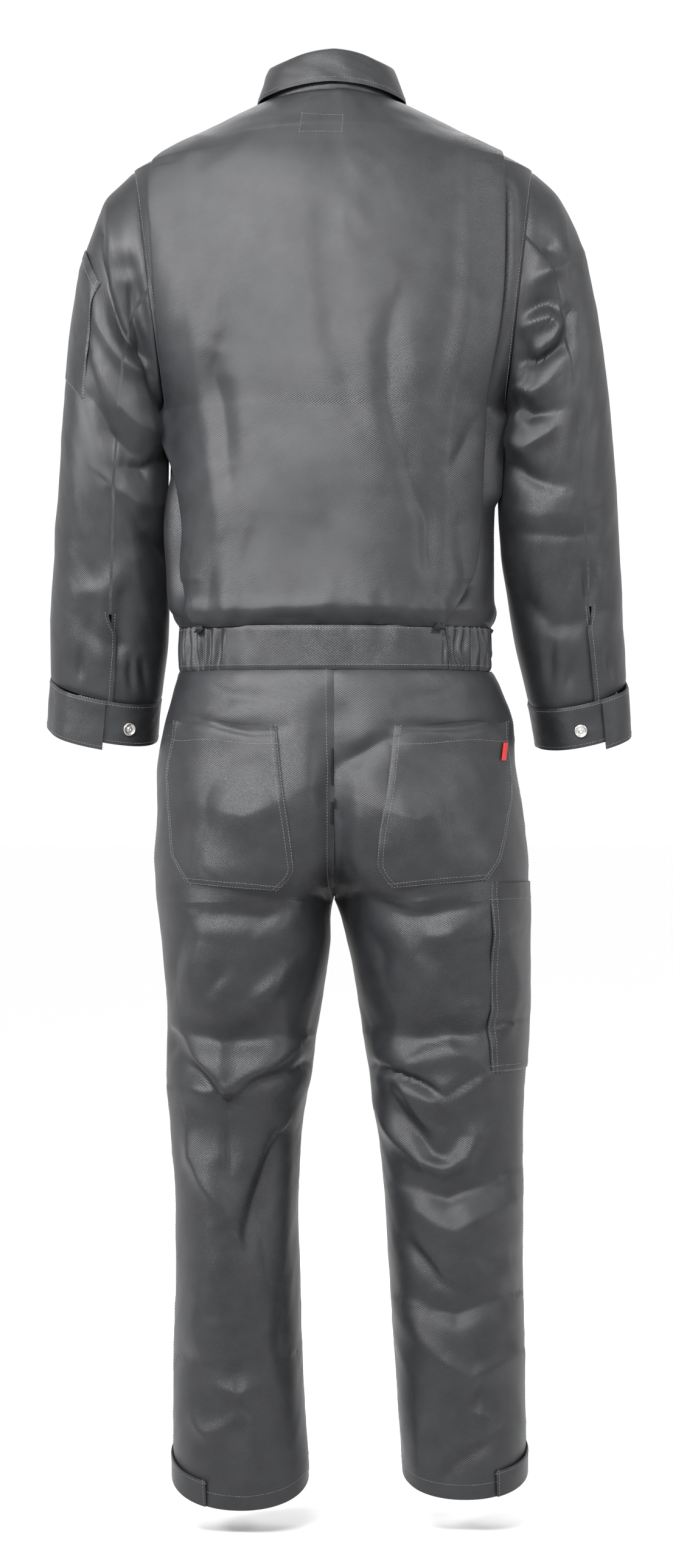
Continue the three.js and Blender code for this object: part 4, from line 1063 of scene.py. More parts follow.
def back_panel() -> tuple[Grid, Grid]:
    """The whole centre back, from one folded edge to the other."""
    halves = {side: back_half(side) for side in Side}
    joined = []
    for k in (0, 1):
        left, right = halves[Side.LEFT][k], halves[Side.RIGHT][k]
        points = np.concatenate([left.points[:, ::-1], right.points[:, 1:]], axis=1)
        normals = np.concatenate([left.normals[:, ::-1], right.normals[:, 1:]], axis=1)
        joined.append(Grid(points, normals))
    roll = Roll(ROWS)
    return joined[0], joined[1].moved(roll.lift(joined[1], 3))


def back_strip(side: Side) -> tuple[Grid, Grid]:
    """The side back, which runs under the folded edge of the centre."""
    rows = bodice_rows(PLEAT_TOP)
    ring = BODICE.ring(side, rows, Facing.BACK)
    edge = PLEAT_EDGES.at(side.word, ring["edge"][:, 2])
    start = BODICE.angle_at(ring, edge - PLEAT_UNDER)
    angles = start[:, None] + (ring["end"] - start)[:, None] * np.linspace(0, 1, FINE.strip)
    plain = bodice_grid(side, Facing.BACK, rows, angles)
    lift = seen_lift(BODICE_CREASES, plain, Facing.BACK, BODICE_GAIN)
    lift = lift * fade(plain, ("first_row", "last_column"), 14.0)
    lift -= 1.4 * smooth((rows - 2.1) / 0.17)[:, None]
    x, z = VIEW.flat(plain.points)
    hollow = HOLLOW_DEPTH * bell(np.abs(x) - edge[:, None] - HOLLOW_BESIDE, HOLLOW_WIDTH)
    hollow *= window(z, *HOLLOW_LEVELS[side], HOLLOW_ENDS) * fade(plain, ("last_column",), 9.0)
    lift += blouse(plain, BLOUSE_SEED) + side_fold(plain, side) - hollow
    return finished(plain, lift, 20 + side.value, Roll(("last_column", "first_row"), 0.6))


def front_panel(side: Side) -> tuple[Grid, Grid]:
    """One front of the bodice, from the middle to the side seam."""
    rows = bodice_rows()
    ring = BODICE.ring(side, rows, Facing.FRONT)
    angles = np.maximum(ring["end"][:, None] * np.linspace(0, 1, FINE.front), 1e-6)
    plain = bodice_grid(side, Facing.FRONT, rows, angles)
    lift = seen_lift(BODICE_FRONT_CREASES, plain, Facing.FRONT, BODICE_GAIN)
    lift = lift + slack(plain, 31 + side.value)
    lift = lift * fade(plain, (*ROWS, "last_column"), 16.0) + blouse(plain, BLOUSE_SEED + 2)
    return finished(plain, lift, 33 + side.value, Roll())


def sleeve_grid(side: Side, shares: Array, turns: Array, closed: bool = True) -> Grid:
    """A grid round an arm on its plain form, with the turns in degrees."""
    points = SLEEVE[side].points(shares[:, None] + 0 * turns, turns * DEGREE)
    centre = SLEEVE[side].points(shares[:, None], np.array([[0.0, math.pi]])).mean(1, keepdims=True)
    return Grid(points, normals_of(points, closed, points - centre), closed)


def sleeve_lift(grid: Grid, shares: Array, side: Side) -> Array:
    """The creases of a sleeve, which fade out at the armhole and the cuff."""
    inside = (smooth(shares / 0.1) * smooth((1 - shares) / 0.06))[:, None]
    lift = seen_lift(SLEEVE_CREASES, grid, Facing.BACK, SLEEVE_GAIN)
    lift += seen_lift(SLEEVE_FRONT_CREASES, grid, Facing.FRONT)
    inward = smooth((-side.value * grid.normals[..., 0] - 0.5) / 0.4)
    high = window(shares, 0.08, 0.66, 0.1)[:, None]
    uneven = slack(grid, 51 + side.value, 38.0, 1.0) * (1 - inward * 0.8)
    return (lift + uneven + SLEEVE_INWARD * inward * high) * inside


def sleeve_panel(side: Side) -> tuple[Grid, Grid]:
    """A sleeve with its slit above the cuff."""
    shares = np.linspace(0, 1, FINE.sleeve_rows)
    first = SLIT[side] + SLIT_HALF
    around = np.linspace(first, first + ALL_ROUND - 2 * SLIT_HALF, FINE.sleeve_columns)
    lap = smooth((shares - SLIT_FROM) / 0.035)[:, None] * smooth((around - around[-1]) / SLIT_EASE + 1)
    plain = sleeve_grid(side, shares, around + SLIT_LAP * lap)
    keep = np.ones((len(shares) - 1, len(around)), bool)
    keep[:, -1] = shares[1:] <= SLIT_FROM
    plain.keep = keep
    return finished(plain, sleeve_lift(plain, shares, side) + SLIT_OVER * lap, 55, Roll(ROWS))


@dataclass(frozen=True)
class CuffSize:
    """The cuff's lap and how it lies.

    Args:
        lap: how far it laps over itself, in degrees.
        beyond: how far past the lap it starts to ease off, in degrees.
        ease: over how many degrees it does so.
        stand: how far it stands off the sleeve, in millimetres.
        lift: how much more it does so under the lap.
        over: how much more it does so over the lap.
        rise: how much shorter the lower layer is.
    """

    lap: float = 26.0
    beyond: float = 6.0
    ease: float = 38.0
    stand: float = 0.6
    lift: float = 3.3
    over: float = 6.6
    rise: float = 8.0


CUFF = CuffSize()


def cuff_lift(side: Side, degrees: Array) -> Array:
    """How far a cuff stands off its sleeve's line, more where it laps over itself."""
    turn = degrees - SLIT[side]
    reach = CUFF.lap + CUFF.beyond
    under = CUFF.lift * (1 - smooth((turn - reach) / CUFF.ease))
    return CUFF.stand + under + CUFF.over * smooth((turn - ALL_ROUND + reach + CUFF.ease) / CUFF.ease)


def cuff_panel(side: Side) -> tuple[Grid, Grid]:
    """A cuff that laps over itself at the snap."""
    shares = np.linspace(1, 1.1, 26)
    around = np.linspace(SLIT[side] - CUFF.lap, SLIT[side] + ALL_ROUND, 150)
    plain = sleeve_grid(side, shares, around[None, :], closed=False)
    lift = cuff_lift(side, around)[None, :] + slack(plain, 61 + side.value, 24.0, 0.7)
    lift = lift + Roll(("first_row",), 0.8, 2.0, 0.2).lift(plain, 63)
    creased = plain.moved(lift)
    turn = around - SLIT[side]
    short = smooth((turn + CUFF.lap) / 20) * smooth((150 - turn) / 60)
    creased.points[..., 2] += CUFF.rise * short * np.linspace(0, 1, len(shares))[:, None]
    return plain, creased.refreshed()


def leg_grid(side: Side, levels: Array, turns: Array) -> Grid:
    """A grid on one leg's plain form, with turns above 0 at the back."""
    z = levels[:, None] + 0 * turns
    points = LEG[side].points(z, turns)
    middle = LEG[side].shape(z)[0] * side.value
    guide = points - np.stack([middle, 0 * middle, points[..., 2]], -1)
    return Grid(points, normals_of(points, False, guide))


def leg_lift(grid: Grid, side: Side, levels: Array) -> Array:
    """The creases of a trouser leg, which fade out at the waistband and the hem."""
    lift = seen_lift(LEG_CREASES + SEAT_CREASES, grid, Facing.BACK, LEG_GAIN)
    lift += seen_lift(LEG_FORMS, grid, Facing.BACK, LEG_FORM_GAIN)
    lift += seen_lift(LEG_FRONT_CREASES, grid, Facing.FRONT, LEG_GAIN)
    low = smooth((levels - HEM[side]) / 24) * 0.8 + 0.2
    weight = (smooth((BAND_SEAM - levels) / 30) * low)[:, None]
    return (lift + slack(grid, 71 + side.value, 54.0, 1.2)) * weight


def leg_panel(side: Side, facing: Facing) -> tuple[Grid, Grid]:
    """The back or the front of one leg."""
    back = facing is Facing.BACK
    rows = FINE.leg_rows if back else FINE.leg_front_rows
    levels = np.linspace(BAND_SEAM, HEM[side], rows)
    share = np.linspace(0, 1, FINE.leg_columns if back else FINE.leg_front_columns)
    turns = facing.value * np.maximum(LEG[side].cut(levels)[:, None] * share, 1e-4)
    plain = leg_grid(side, levels, turns)
    lift = leg_lift(plain, side, levels) * (1 if back else fade(plain, COLUMNS, 12.0))
    lift = lift + Roll((*COLUMNS, "first_row")).lift(plain, 75 + side.value + facing.value)
    creased = plain.moved(lift).refreshed()
    joined = levels > CROTCH
    creased.points[joined, -1, 0] = -side.value * 0.1
    creased.normals[joined, -1] = (0, facing.value, 0)
    return plain, creased


# Smaller pieces


HIP_POCKETS = {
    Side.LEFT: Table(
        ("z", "outer", "inner"),
        (
            (-704, 174, 63), (-753, 187, 58), (-777, 186, 55), (-850, 181, 45), (-863, 176, 45),
            (-884, 165, 62),
        ),
    ),
    Side.RIGHT: Table(
        ("z", "outer", "inner"),
        (
            (-704, 192, 67), (-777, 199, 58), (-816, 193, 51), (-845, 187, 48), (-859, 183, 49),
            (-880, 170, 65),
        ),
    ),
}
POCKET_LIFT = CLOTH + LAY_GAP
POCKET_TOP = -704.0
POCKET_GAPE = 3.8
POCKET_CORNER = 3.4
POCKET_SAG = 1.92
POCKET_SINK = 0.6
BAND_CENTRE = 120.0
GATHER_PITCH = 12.5
GATHER_HEIGHT = 2.4
GATHER_UNEVEN = 2.2
COLLAR = Table(
    ("angle", "height", "lean", "out", "drop", "flare"),
    (
        (0, 42, 12, 6, 39, 0), (22, 39.5, 12, 6.5, 38, 0), (45, 36.5, 12, 7, 37, 1),
        (70, 36.5, 11.5, 8, 38.5, 2), (90, 38, 11, 9, 41, 2), (135, 33, 10, 14, 44, 5),
        (172, 30, 7, 20, 58, 8),
    ),
)
FALL = Table(
    ("step", "over", "down", "tilt"),
    ((0, 0, 0, 90), (1, 0.32, 0.035, 55), (2, 0.5, 0.2, 12), (3, 0.75, 0.6, 4), (4, 1, 1, 2)),
)
PEN_POCKET = {"top": 0.2, "bottom": 0.475, "back": 54.0, "front": -18.0, "gape": 1.0}
TOOL_POCKET = {"top": -880.0, "bottom": -1090.0, "inner": 174.0, "front": -26.0, "gape": 0.8}
RED_TAB = {"x": 187.0, "middle": -734.0, "width": 4.95, "height": 20.0, "slant": 0.12, "lift": 2.3}
ANKLE_TAB = {"back": 62.0, "front": -24.0, "height": 27.0, "lift": 0.3}
PLACKET = {"half": 19.0, "top": 2.93, "bottom": -800.0, "lift": 3.5}


def hip_pocket(side: Side) -> tuple[Grid, Grid]:
    """A patch pocket on the seat, with a slack top edge and a curled outer corner."""
    shape = HIP_POCKETS[side]
    levels = np.linspace(POCKET_TOP, min(shape.rows)[0], 76)
    outer = LEG[side].turn_at(levels, shape.at("outer", levels))
    inner = LEG[side].turn_at(levels, shape.at("inner", levels))
    share = np.linspace(0, 1, 64)
    plain = leg_grid(side, levels, outer[:, None] + (inner - outer)[:, None] * share)
    below = (POCKET_TOP - levels)[:, None]
    top = bell(below, 26.0)
    middle = np.sin(math.pi * share)[None, :]
    corner = bell(share, 0.07)[None, :] * bell(below, 12.0)
    lift = leg_lift(plain, side, levels) + POCKET_LIFT
    lift = lift + POCKET_GAPE * top * middle + POCKET_CORNER * corner
    lift = lift + 0.8 * slack(plain, 81 + side.value, 30.0, 0.8)
    lift = lift + Roll(POCKET_EDGES, 1.6, 1.8, 0.5).lift(plain, 83)
    creased = plain.moved(lift)
    creased.points[..., 2] -= POCKET_SAG * middle * bell(below, 18.0) * np.cos(share * 7.0)[None, :]
    low = smooth((-820 - levels) / 50)[:, None]
    creased.points[..., 2] += (4.0 - 9.0 * share)[None, :] * low + (3.0 - 5.0 * share)[None, :] * top
    return plain, creased.refreshed()


def red_tab() -> tuple[Grid, Grid]:
    """The small plain tab on the right pocket."""
    levels = RED_TAB["middle"] + RED_TAB["height"] * np.linspace(0.5, -0.5, 12)
    across = np.linspace(-0.5, 0.5, 8)
    slant = (levels[:, None] - RED_TAB["middle"]) * RED_TAB["slant"]
    x = RED_TAB["x"] - across * RED_TAB["width"] + slant
    turns = LEG[Side.RIGHT].turn_at(levels[:, None] + 0 * x, x)
    plain = leg_grid(Side.RIGHT, levels, turns)
    bulge = 0.5 * np.cos(across * math.pi)[None, :]
    return plain, plain.moved(POCKET_LIFT + RED_TAB["lift"] + bulge).refreshed()


def round_leg(side: Side, levels: Array, back: Array, front: float, columns: int) -> Grid:
    """A grid from the back of a leg round its side seam to the front, in degrees."""
    share = np.linspace(0, 1, columns)
    return leg_grid(side, levels, (back[:, None] + (front - back)[:, None] * share) * DEGREE)


def tool_pocket() -> tuple[Grid, Grid]:
    """The long pocket round the side of the right leg."""
    size = TOOL_POCKET
    levels = np.linspace(size["top"], size["bottom"], 84)
    back = LEG[Side.RIGHT].turn_at(levels, np.full(levels.shape, size["inner"])) / DEGREE
    plain = round_leg(Side.RIGHT, levels, back, size["front"], 44)
    top = bell(size["top"] - levels, 20.0)[:, None]
    gape = size["gape"] * top * np.sin(math.pi * np.linspace(0, 1, 44))[None, :]
    lift = leg_lift(plain, Side.RIGHT, levels) + POCKET_LIFT - POCKET_SINK + gape
    return finished(plain, lift + slack(plain, 91, 34.0, 0.7), 93, Roll(POCKET_EDGES, 1.4, 1.8, 0.4))


def ankle_tab(side: Side) -> tuple[Grid, Grid]:
    """The tab that laps round the outside of a hem."""
    levels = np.linspace(HEM[side] + ANKLE_TAB["height"], HEM[side], 16)
    back = np.full(levels.shape, ANKLE_TAB["back"])
    plain = round_leg(side, levels, back, ANKLE_TAB["front"], 60)
    lift = leg_lift(plain, side, levels) + POCKET_LIFT + ANKLE_TAB["lift"]
    return finished(plain, lift, 97, Roll((*COLUMNS, "first_row"), 0.8, 1.5, 0.2))


def pen_pocket() -> tuple[Grid, Grid]:
    """The narrow pocket on the outside of the left sleeve."""
    shares = np.linspace(PEN_POCKET["top"], PEN_POCKET["bottom"], 64)
    around = np.linspace(PEN_POCKET["back"], PEN_POCKET["front"], 36)
    plain = sleeve_grid(Side.LEFT, shares, around[None, :], closed=False)
    top = bell(shares - PEN_POCKET["top"], 0.03)[:, None]
    gape = PEN_POCKET["gape"] * top * np.sin(math.pi * np.linspace(0, 1, 36))[None, :]
    lift = sleeve_lift(plain, shares, Side.LEFT) + POCKET_LIFT - POCKET_SINK + gape
    return finished(plain, lift, 101, Roll(POCKET_EDGES, 1.3, 1.6, 0.4))


def band_grid(facing: Facing, levels: Array, x: Array) -> Grid:
    """A stretch of the waistband on its plain form.

    Args:
        facing: back or front.
        levels: from the waist seam down to the lower seam.
        x: places across, all on one side or over the middle.

    Returns:
        The grid.
    """
    side = np.where(x >= 0, 1.0, -1.0)
    reaches, depths = [], []
    for name in Side:
        high = BODICE_SIDES.at(name.word, WAIST_SEAM)
        low = LEG_TABLES[name].at("out", BAND_SEAM)
        reaches.append(mix(high, low, (WAIST_SEAM - levels) / (WAIST_SEAM - BAND_SEAM)))
        depths.append(float(LEG_TABLES[name].at(facing.word, BAND_SEAM)))
    reach = np.where(side[None, :] > 0, reaches[0][:, None], reaches[1][:, None])
    at = np.clip(np.abs(x)[None, :] / reach, 0, 1)
    y = depths[0] * (1 - at**BODY_SHAPE) ** (1 / BODY_SHAPE)
    points = np.stack([x + 0 * at, facing.value * y, levels[:, None] + 0 * at], -1)
    near = np.clip(at, 0, 0.9995)
    nx = side * near ** (BODY_SHAPE - 1) / reach
    ny = ((1 - near**BODY_SHAPE) ** (1 / BODY_SHAPE)) ** (BODY_SHAPE - 1) / depths[0]
    return Grid(points, unit(np.stack([nx, facing.value * ny, 0 * nx], -1)))


def spread_round(side: Side, start: float, count: int) -> Array:
    """Places across the waistband from a start to the side seam, evenly round the form."""
    reach = float(BODICE_SIDES.at(side.word, WAIST_SEAM))
    low = math.asin((start / reach) ** (BODY_SHAPE / 2))
    angles = np.linspace(low, math.pi / 2, count)
    return side.value * reach * np.sin(angles) ** (2 / BODY_SHAPE)


def waistband_back() -> tuple[Grid, Grid]:
    """The flat middle of the waistband at the back."""
    levels = np.linspace(WAIST_SEAM, BAND_SEAM, 26)
    plain = band_grid(Facing.BACK, levels, np.linspace(-BAND_CENTRE, BAND_CENTRE, 120))
    across, down = plain.across(), plain.down()
    lift = 0.9 * ripple(across, down * 0.3, 17.0, 103) + slack(plain, 104, 40.0, 0.8)
    return finished(plain, lift, 105, Roll(ROWS, 1.2, 2.4, 0.5))


def elastic(side: Side) -> tuple[Grid, Grid]:
    """The gathered stretch of the waistband beside the flat middle."""
    levels = np.linspace(WAIST_SEAM, BAND_SEAM, 30)
    plain = band_grid(Facing.BACK, levels, spread_round(side, BAND_CENTRE, 120))
    across, down = plain.across(), plain.down()
    middle = np.sin(math.pi * np.clip(down / (WAIST_SEAM - BAND_SEAM), 0, 1)) ** 0.6
    bend = across + 4.5 * ripple(across, down * 0.8, 21.0, 107 + side.value)
    gather = GATHER_HEIGHT * np.sin(bend * 2 * math.pi / GATHER_PITCH)
    gather += GATHER_UNEVEN * ripple(across, down * 0.35, 8.0, 111 + side.value)
    lift = (gather * (0.45 + 0.55 * middle) - 0.4) * fade(plain, ("first_column",), 5.0)
    return finished(plain, lift, 109, Roll(ROWS, 1.2, 2.4, 0.4))


def waistband_front(side: Side) -> tuple[Grid, Grid]:
    """One half of the waistband at the front."""
    levels = np.linspace(WAIST_SEAM, BAND_SEAM, 20)
    plain = band_grid(Facing.FRONT, levels, spread_round(side, 0.0, 70))
    return finished(plain, slack(plain, 114 + side.value, 36.0, 0.7), 113, Roll(ROWS, 1.2, 2.4, 0.4))


def neckline(angle: Array) -> Array:
    """Points of the neckline: angle 0 is the middle of the back and 180 the front."""
    size = np.abs(angle)
    result = np.zeros(angle.shape + (3,))
    for side in Side:
        for facing in Facing:
            ring = BODICE.ring(side, np.full(angle.shape, 3.0), facing)
            share = size / 90 if facing is Facing.BACK else (180 - size) / 90
            turns = ring["end"] * np.clip(share, 0, 1)
            points = BODICE.points(side, np.full(angle.shape, 3.0), turns, facing)
            here = (size <= 90) == (facing is Facing.BACK)
            mine = (np.where(angle >= 0, 1, -1) == side.value) & here
            result = np.where(mine[..., None], points, result)
    return result


def collar_frame(angles: Array) -> tuple[Array, Array]:
    """The collar's foot and the way out of the neck at each angle."""
    foot = neckline(angles)
    along = neckline(angles + 2) - neckline(angles - 2)
    away = unit(np.stack([-along[:, 1], along[:, 0], 0 * along[:, 0]], -1))
    flip = np.sign((away * foot * np.array([1, 1, 0])).sum(-1, keepdims=True))
    return foot, away * np.where(flip == 0, 1, flip)


def collar_grid(angles: Array, up: Array, out: Array, tilt: Array) -> Grid:
    """A collar leaf from its height and its way out at each point."""
    foot, away = collar_frame(angles)
    points = foot[None] + away[None] * out[..., None] + UP * up[..., None]
    guide = away[None] * np.cos(tilt * DEGREE)[..., None] + UP * np.sin(tilt * DEGREE)[..., None]
    return Grid(points, normals_of(points, False, guide))


def collar_stand() -> tuple[Grid, Grid]:
    """The collar's stand, which rises from the neckline."""
    angles = np.linspace(-172, 172, 190)
    share = np.linspace(0, 1, 16)[:, None]
    size = np.abs(angles)
    up = (COLLAR.at("height", size) + 2.4) * share - 1.5
    plain = collar_grid(angles, up, -COLLAR.at("lean", size) * share**1.3, 0 * up)
    return finished(plain, 0 * up, 117, Roll(("first_row",), 0.8, 2.0, 0.3))


def collar_fall() -> tuple[Grid, Grid]:
    """The collar's fall, which turns over the stand and lies on the shoulders."""
    angles = np.linspace(-170, 170, 200)
    size = np.abs(angles)
    step = np.linspace(0, 4, 44)[:, None]
    over, down = FALL.at("over", step), FALL.at("down", step)
    top = COLLAR.at("height", size) + 0.9 + CLOTH + 0.6
    out = -COLLAR.at("lean", size) + (COLLAR.at("lean", size) + COLLAR.at("out", size)) * over
    out = out + COLLAR.at("flare", size) * down
    up = top - COLLAR.at("drop", size) * down
    plain = collar_grid(angles, up, out, FALL.at("tilt", step) + 0 * up)
    lift = slack(plain, 121, 34.0, 1.1) * smooth((step - 1.2) / 1.5)
    return finished(plain, lift, 123, Roll(("last_row",), 0.7, 1.8, 0.3))


def placket() -> tuple[Grid, Grid]:
    """The closure strip down the centre front."""
    across = np.linspace(-PLACKET["half"], PLACKET["half"], 16)
    rows = np.linspace(PLACKET["top"], 0.02, 120)
    size = np.maximum(np.abs(across), 1e-6)
    parts = []
    for side in Side:
        ring = BODICE.ring(side, rows, Facing.FRONT)
        spread = {k: (v[:, None] if v.ndim == 1 else v[:, None, :]) for k, v in ring.items()}
        angles = BODICE.angle_at(spread, size[None, :])
        bodice = BODICE.points(side, rows[:, None] + 0 * angles, angles, Facing.FRONT)
        fly = np.linspace(BAND_SEAM - 6, PLACKET["bottom"], 34)
        turns = LEG[side].turn_at(fly[:, None] + 0 * size, size[None, :] + 0 * fly[:, None])
        legs = LEG[side].points(fly[:, None] + 0 * turns, -turns)
        parts.append((bodice, legs))
    band = band_grid(Facing.FRONT, np.linspace(WAIST_SEAM - 2, BAND_SEAM, 12), across).points
    left = (across >= 0)[None, :, None]
    top = np.where(left, parts[0][0], parts[1][0])
    low = np.where(left, parts[0][1], parts[1][1])
    points = np.concatenate([top, band, low], axis=0)
    guide = np.zeros(points.shape) + np.array([0.0, -1.0, 0.4])
    plain = Grid(points, normals_of(points, False, guide))
    lift = PLACKET["lift"] + slack(plain, 127, 40.0, 0.5)
    return finished(plain, lift, 129, Roll(COLUMNS, 0.7, 1.6, 0.2))


# Meshes


SHELL = 1.2
DOUBLE_SHELL = 2.0
THIN_SHELL = 0.7
UV_SCALE = MM
SMALLEST = 10.0
ALLOWANCE = 5.0


def kept_cells(grid: Grid) -> Array:
    """Which cells of a grid are cloth."""
    rows, columns = grid.points.shape[:2]
    wide = columns if grid.closed else columns - 1
    return grid.keep if grid.keep is not None else np.ones((rows - 1, wide), bool)


def placed(name: str, data: bpy.types.ID) -> bpy.types.Object:
    """A new object in the scene that holds a mesh, a light or the camera."""
    thing = bpy.data.objects.new(name, data)
    bpy.context.scene.collection.objects.link(thing)
    return thing


def shell_faces(grid: Grid) -> tuple[Array, Array]:
    """Quads of a closed shell over a grid and the same grid moved in.

    Args:
        grid: the outer surface.

    Returns:
        The quads of both faces, and those of the rims.
    """
    rows, columns = grid.points.shape[:2]
    keep = kept_cells(grid)
    index = np.arange(rows * columns).reshape(rows, columns)
    inner = rows * columns
    i, j = np.nonzero(keep)
    k = (j + 1) % columns
    a, b, c, d = index[i, j], index[i + 1, j], index[i + 1, k], index[i, k]
    outer_quads = np.stack([a, b, c, d], -1)
    inner_quads = np.stack([a, d, c, b], -1) + inner
    rims = []
    gap = ~keep
    above = np.ones_like(keep)
    above[1:] = gap[:-1]
    below = np.ones_like(keep)
    below[:-1] = gap[1:]
    if grid.closed:
        before, after = np.roll(gap, 1, axis=1), np.roll(gap, -1, axis=1)
    else:
        before, after = np.ones_like(keep), np.ones_like(keep)
        before[:, 1:], after[:, :-1] = gap[:, :-1], gap[:, 1:]
    sides = (
        (above, (0, 1), (0, 0)),
        (below, (1, 0), (1, 1)),
        (before, (0, 0), (1, 0)),
        (after, (1, 1), (0, 1)),
    )
    for side, start, end in sides:
        r, s = np.nonzero(keep & side)
        p = index[r + start[0], (s + start[1]) % columns]
        q = index[r + end[0], (s + end[1]) % columns]
        rims.append(np.stack([p, q, q + inner, p + inner], -1))
    return np.concatenate([outer_quads, inner_quads]), np.concatenate(rims)


def cloth_object(
    name: str, grid: Grid, material: bpy.types.Material, thickness: float
) -> bpy.types.Object:
    """A thin closed shell of cloth with a texture map in metres along it.

    Args:
        name: the piece's name.
        grid: its outer surface.
        material: its finish.
        thickness: of the cloth, in millimetres.

    Returns:
        The new object, linked to the scene.
    """
    outer = grid.points.reshape(-1, 3)
    inner = (grid.points - grid.normals * thickness).reshape(-1, 3)
    quads, rim = shell_faces(grid)
    half = len(quads) // 2
    sample = quads[: half : max(half // 400, 1)]
    corners = [outer[sample[:, k]] for k in range(4)]
    way = np.cross(corners[2] - corners[0], corners[3] - corners[1])
    facing = (way * grid.normals.reshape(-1, 3)[sample[:, 0]]).sum()
    faces = np.concatenate([quads, rim])
    if facing < 0:
        faces = faces[:, ::-1]
    mesh = bpy.data.meshes.new(name)
    mesh.from_pydata((np.concatenate([outer, inner]) * MM).tolist(), [], faces.tolist())
    across = grid.across()
    wrap = across[:, -1]
    if grid.closed:
        wrap = wrap + np.linalg.norm(grid.points[:, 0] - grid.points[:, -1], axis=-1)
    u = across - wrap[:, None] / 2
    v = grid.down().mean(axis=1)[:, None] + 0 * u
    flat = np.stack([u, v], -1).reshape(-1, 2)
    flat = np.concatenate([flat, flat])
    loops = faces.reshape(-1)
    coordinates = flat[loops].reshape(-1, 4, 2)
    if grid.closed:
        low = coordinates[..., 0].min(axis=1, keepdims=True)
        high = coordinates[..., 0].max(axis=1, keepdims=True)
        torn = (high - low) > wrap.mean() / 2
        start = coordinates[..., 0] < 0
        coordinates[..., 0] += np.where(torn & start, wrap.mean(), 0.0)
    layer = mesh.uv_layers.new(name="cloth")
    layer.data.foreach_set("uv", (coordinates * UV_SCALE).astype(np.float32).ravel())
    mesh.materials.append(material)
    mesh.shade_smooth()
    mesh.set_sharp_from_angle(angle=62 * DEGREE)
    mesh.update()
    return placed(name, mesh)


# Finishes


def add_node(
    tree: bpy.types.NodeTree, kind: str, inputs: dict | None = None, **settings: object
) -> bpy.types.Node:
    """Adds a node to a tree.

    Args:
        tree: the tree.
        kind: the node's type.
        inputs: values of its inputs, by their names or places.
        settings: its other settings.

    Returns:
        The node.
    """
    node = tree.nodes.new(kind)
    for name, value in settings.items():
        setattr(node, name, value)
    for name, value in (inputs or {}).items():
        node.inputs[name].default_value = value
    return node


def join(tree: bpy.types.NodeTree, *links: tuple) -> None:
    """Links nodes: each link is a node and its output, then a node and its input."""
    for source, output, target, entry in links:
        tree.links.new(source.outputs[output], target.inputs[entry])


def shader_of(name: str, **inputs: object) -> tuple[bpy.types.Material, bpy.types.Node]:
    """A new material and its shader with some inputs set, named with _ for each space."""
    material = bpy.data.materials.new(name)
    material.use_nodes = True
    shader = material.node_tree.nodes["Principled BSDF"]
    for entry, value in inputs.items():
        shader.inputs[entry.replace("_", " ")].default_value = value
    return material, shader


@dataclass(frozen=True)
class ClothFinish:
    """A woven cloth.

    Args:
        name: of the material.
        colour: its base colour.
        light: the paler colour of its worn threads.
        roughness: of its surface.
        sheen: how strong the soft glow at its edges is.
        weave: how strong the weave shows.
        specular: how much it shines.
        twill_turn: the twill's slant, in degrees.
        weave_depth: in millimetres.
    """

    name: str
    colour: tuple[float, float, float]
    light: tuple[float, float, float]
    roughness: float = 0.44
    sheen: float = 0.02
    weave: float = 0.45
    specular: float = 0.4
    twill_turn: float = 62.0
    weave_depth: float = 0.3

    def make(self) -> bpy.types.Material:
        """Builds the material.

        Returns:
            The material.
        """
        material, shader = shader_of(
            self.name,
            Roughness=self.roughness,
            Sheen_Weight=self.sheen,
            Sheen_Roughness=0.45,
            Specular_IOR_Level=self.specular,
        )
        tree = material.node_tree
        place = add_node(tree, "ShaderNodeTexCoord")
        turn = add_node(tree, "ShaderNodeMapping", {"Rotation": (0, 0, self.twill_turn * DEGREE)})
        waves = {"Scale": 190.0, "Distortion": 1.2, "Detail": 2.0}
        twill = add_node(tree, "ShaderNodeTexWave", waves, wave_type="BANDS")
        threads = add_node(tree, "ShaderNodeTexNoise", {"Scale": 900.0, "Detail": 3.0})
        cloud = add_node(tree, "ShaderNodeTexNoise", {"Scale": 38.0, "Detail": 5.0})
        ends = {6: (*self.colour, 1), 7: (*self.light, 1)}
        tone = add_node(tree, "ShaderNodeMix", ends, data_type="RGBA")
        worn = add_node(tree, "ShaderNodeMath", operation="MULTIPLY")
        spread = add_node(tree, "ShaderNodeMapRange", {"From Min": 0.12, "From Max": 0.4})
        height = add_node(tree, "ShaderNodeMath", operation="ADD")
        relief = {"Strength": self.weave, "Distance": self.weave_depth * MM}
        bump = add_node(tree, "ShaderNodeBump", relief)
        join(
            tree,
            (place, "UV", turn, "Vector"),
            (turn, "Vector", twill, "Vector"),
            (place, "UV", threads, "Vector"),
            (place, "Object", cloud, "Vector"),
            (cloud, "Fac", worn, 0),
            (threads, "Fac", worn, 1),
            (worn, 0, spread, "Value"),
            (spread, 0, tone, 0),
            (tone, 2, shader, "Base Color"),
            (twill, "Fac", height, 0),
            (threads, "Fac", height, 1),
            (height, 0, bump, "Height"),
            (bump, "Normal", shader, "Normal"),
        )
        return material


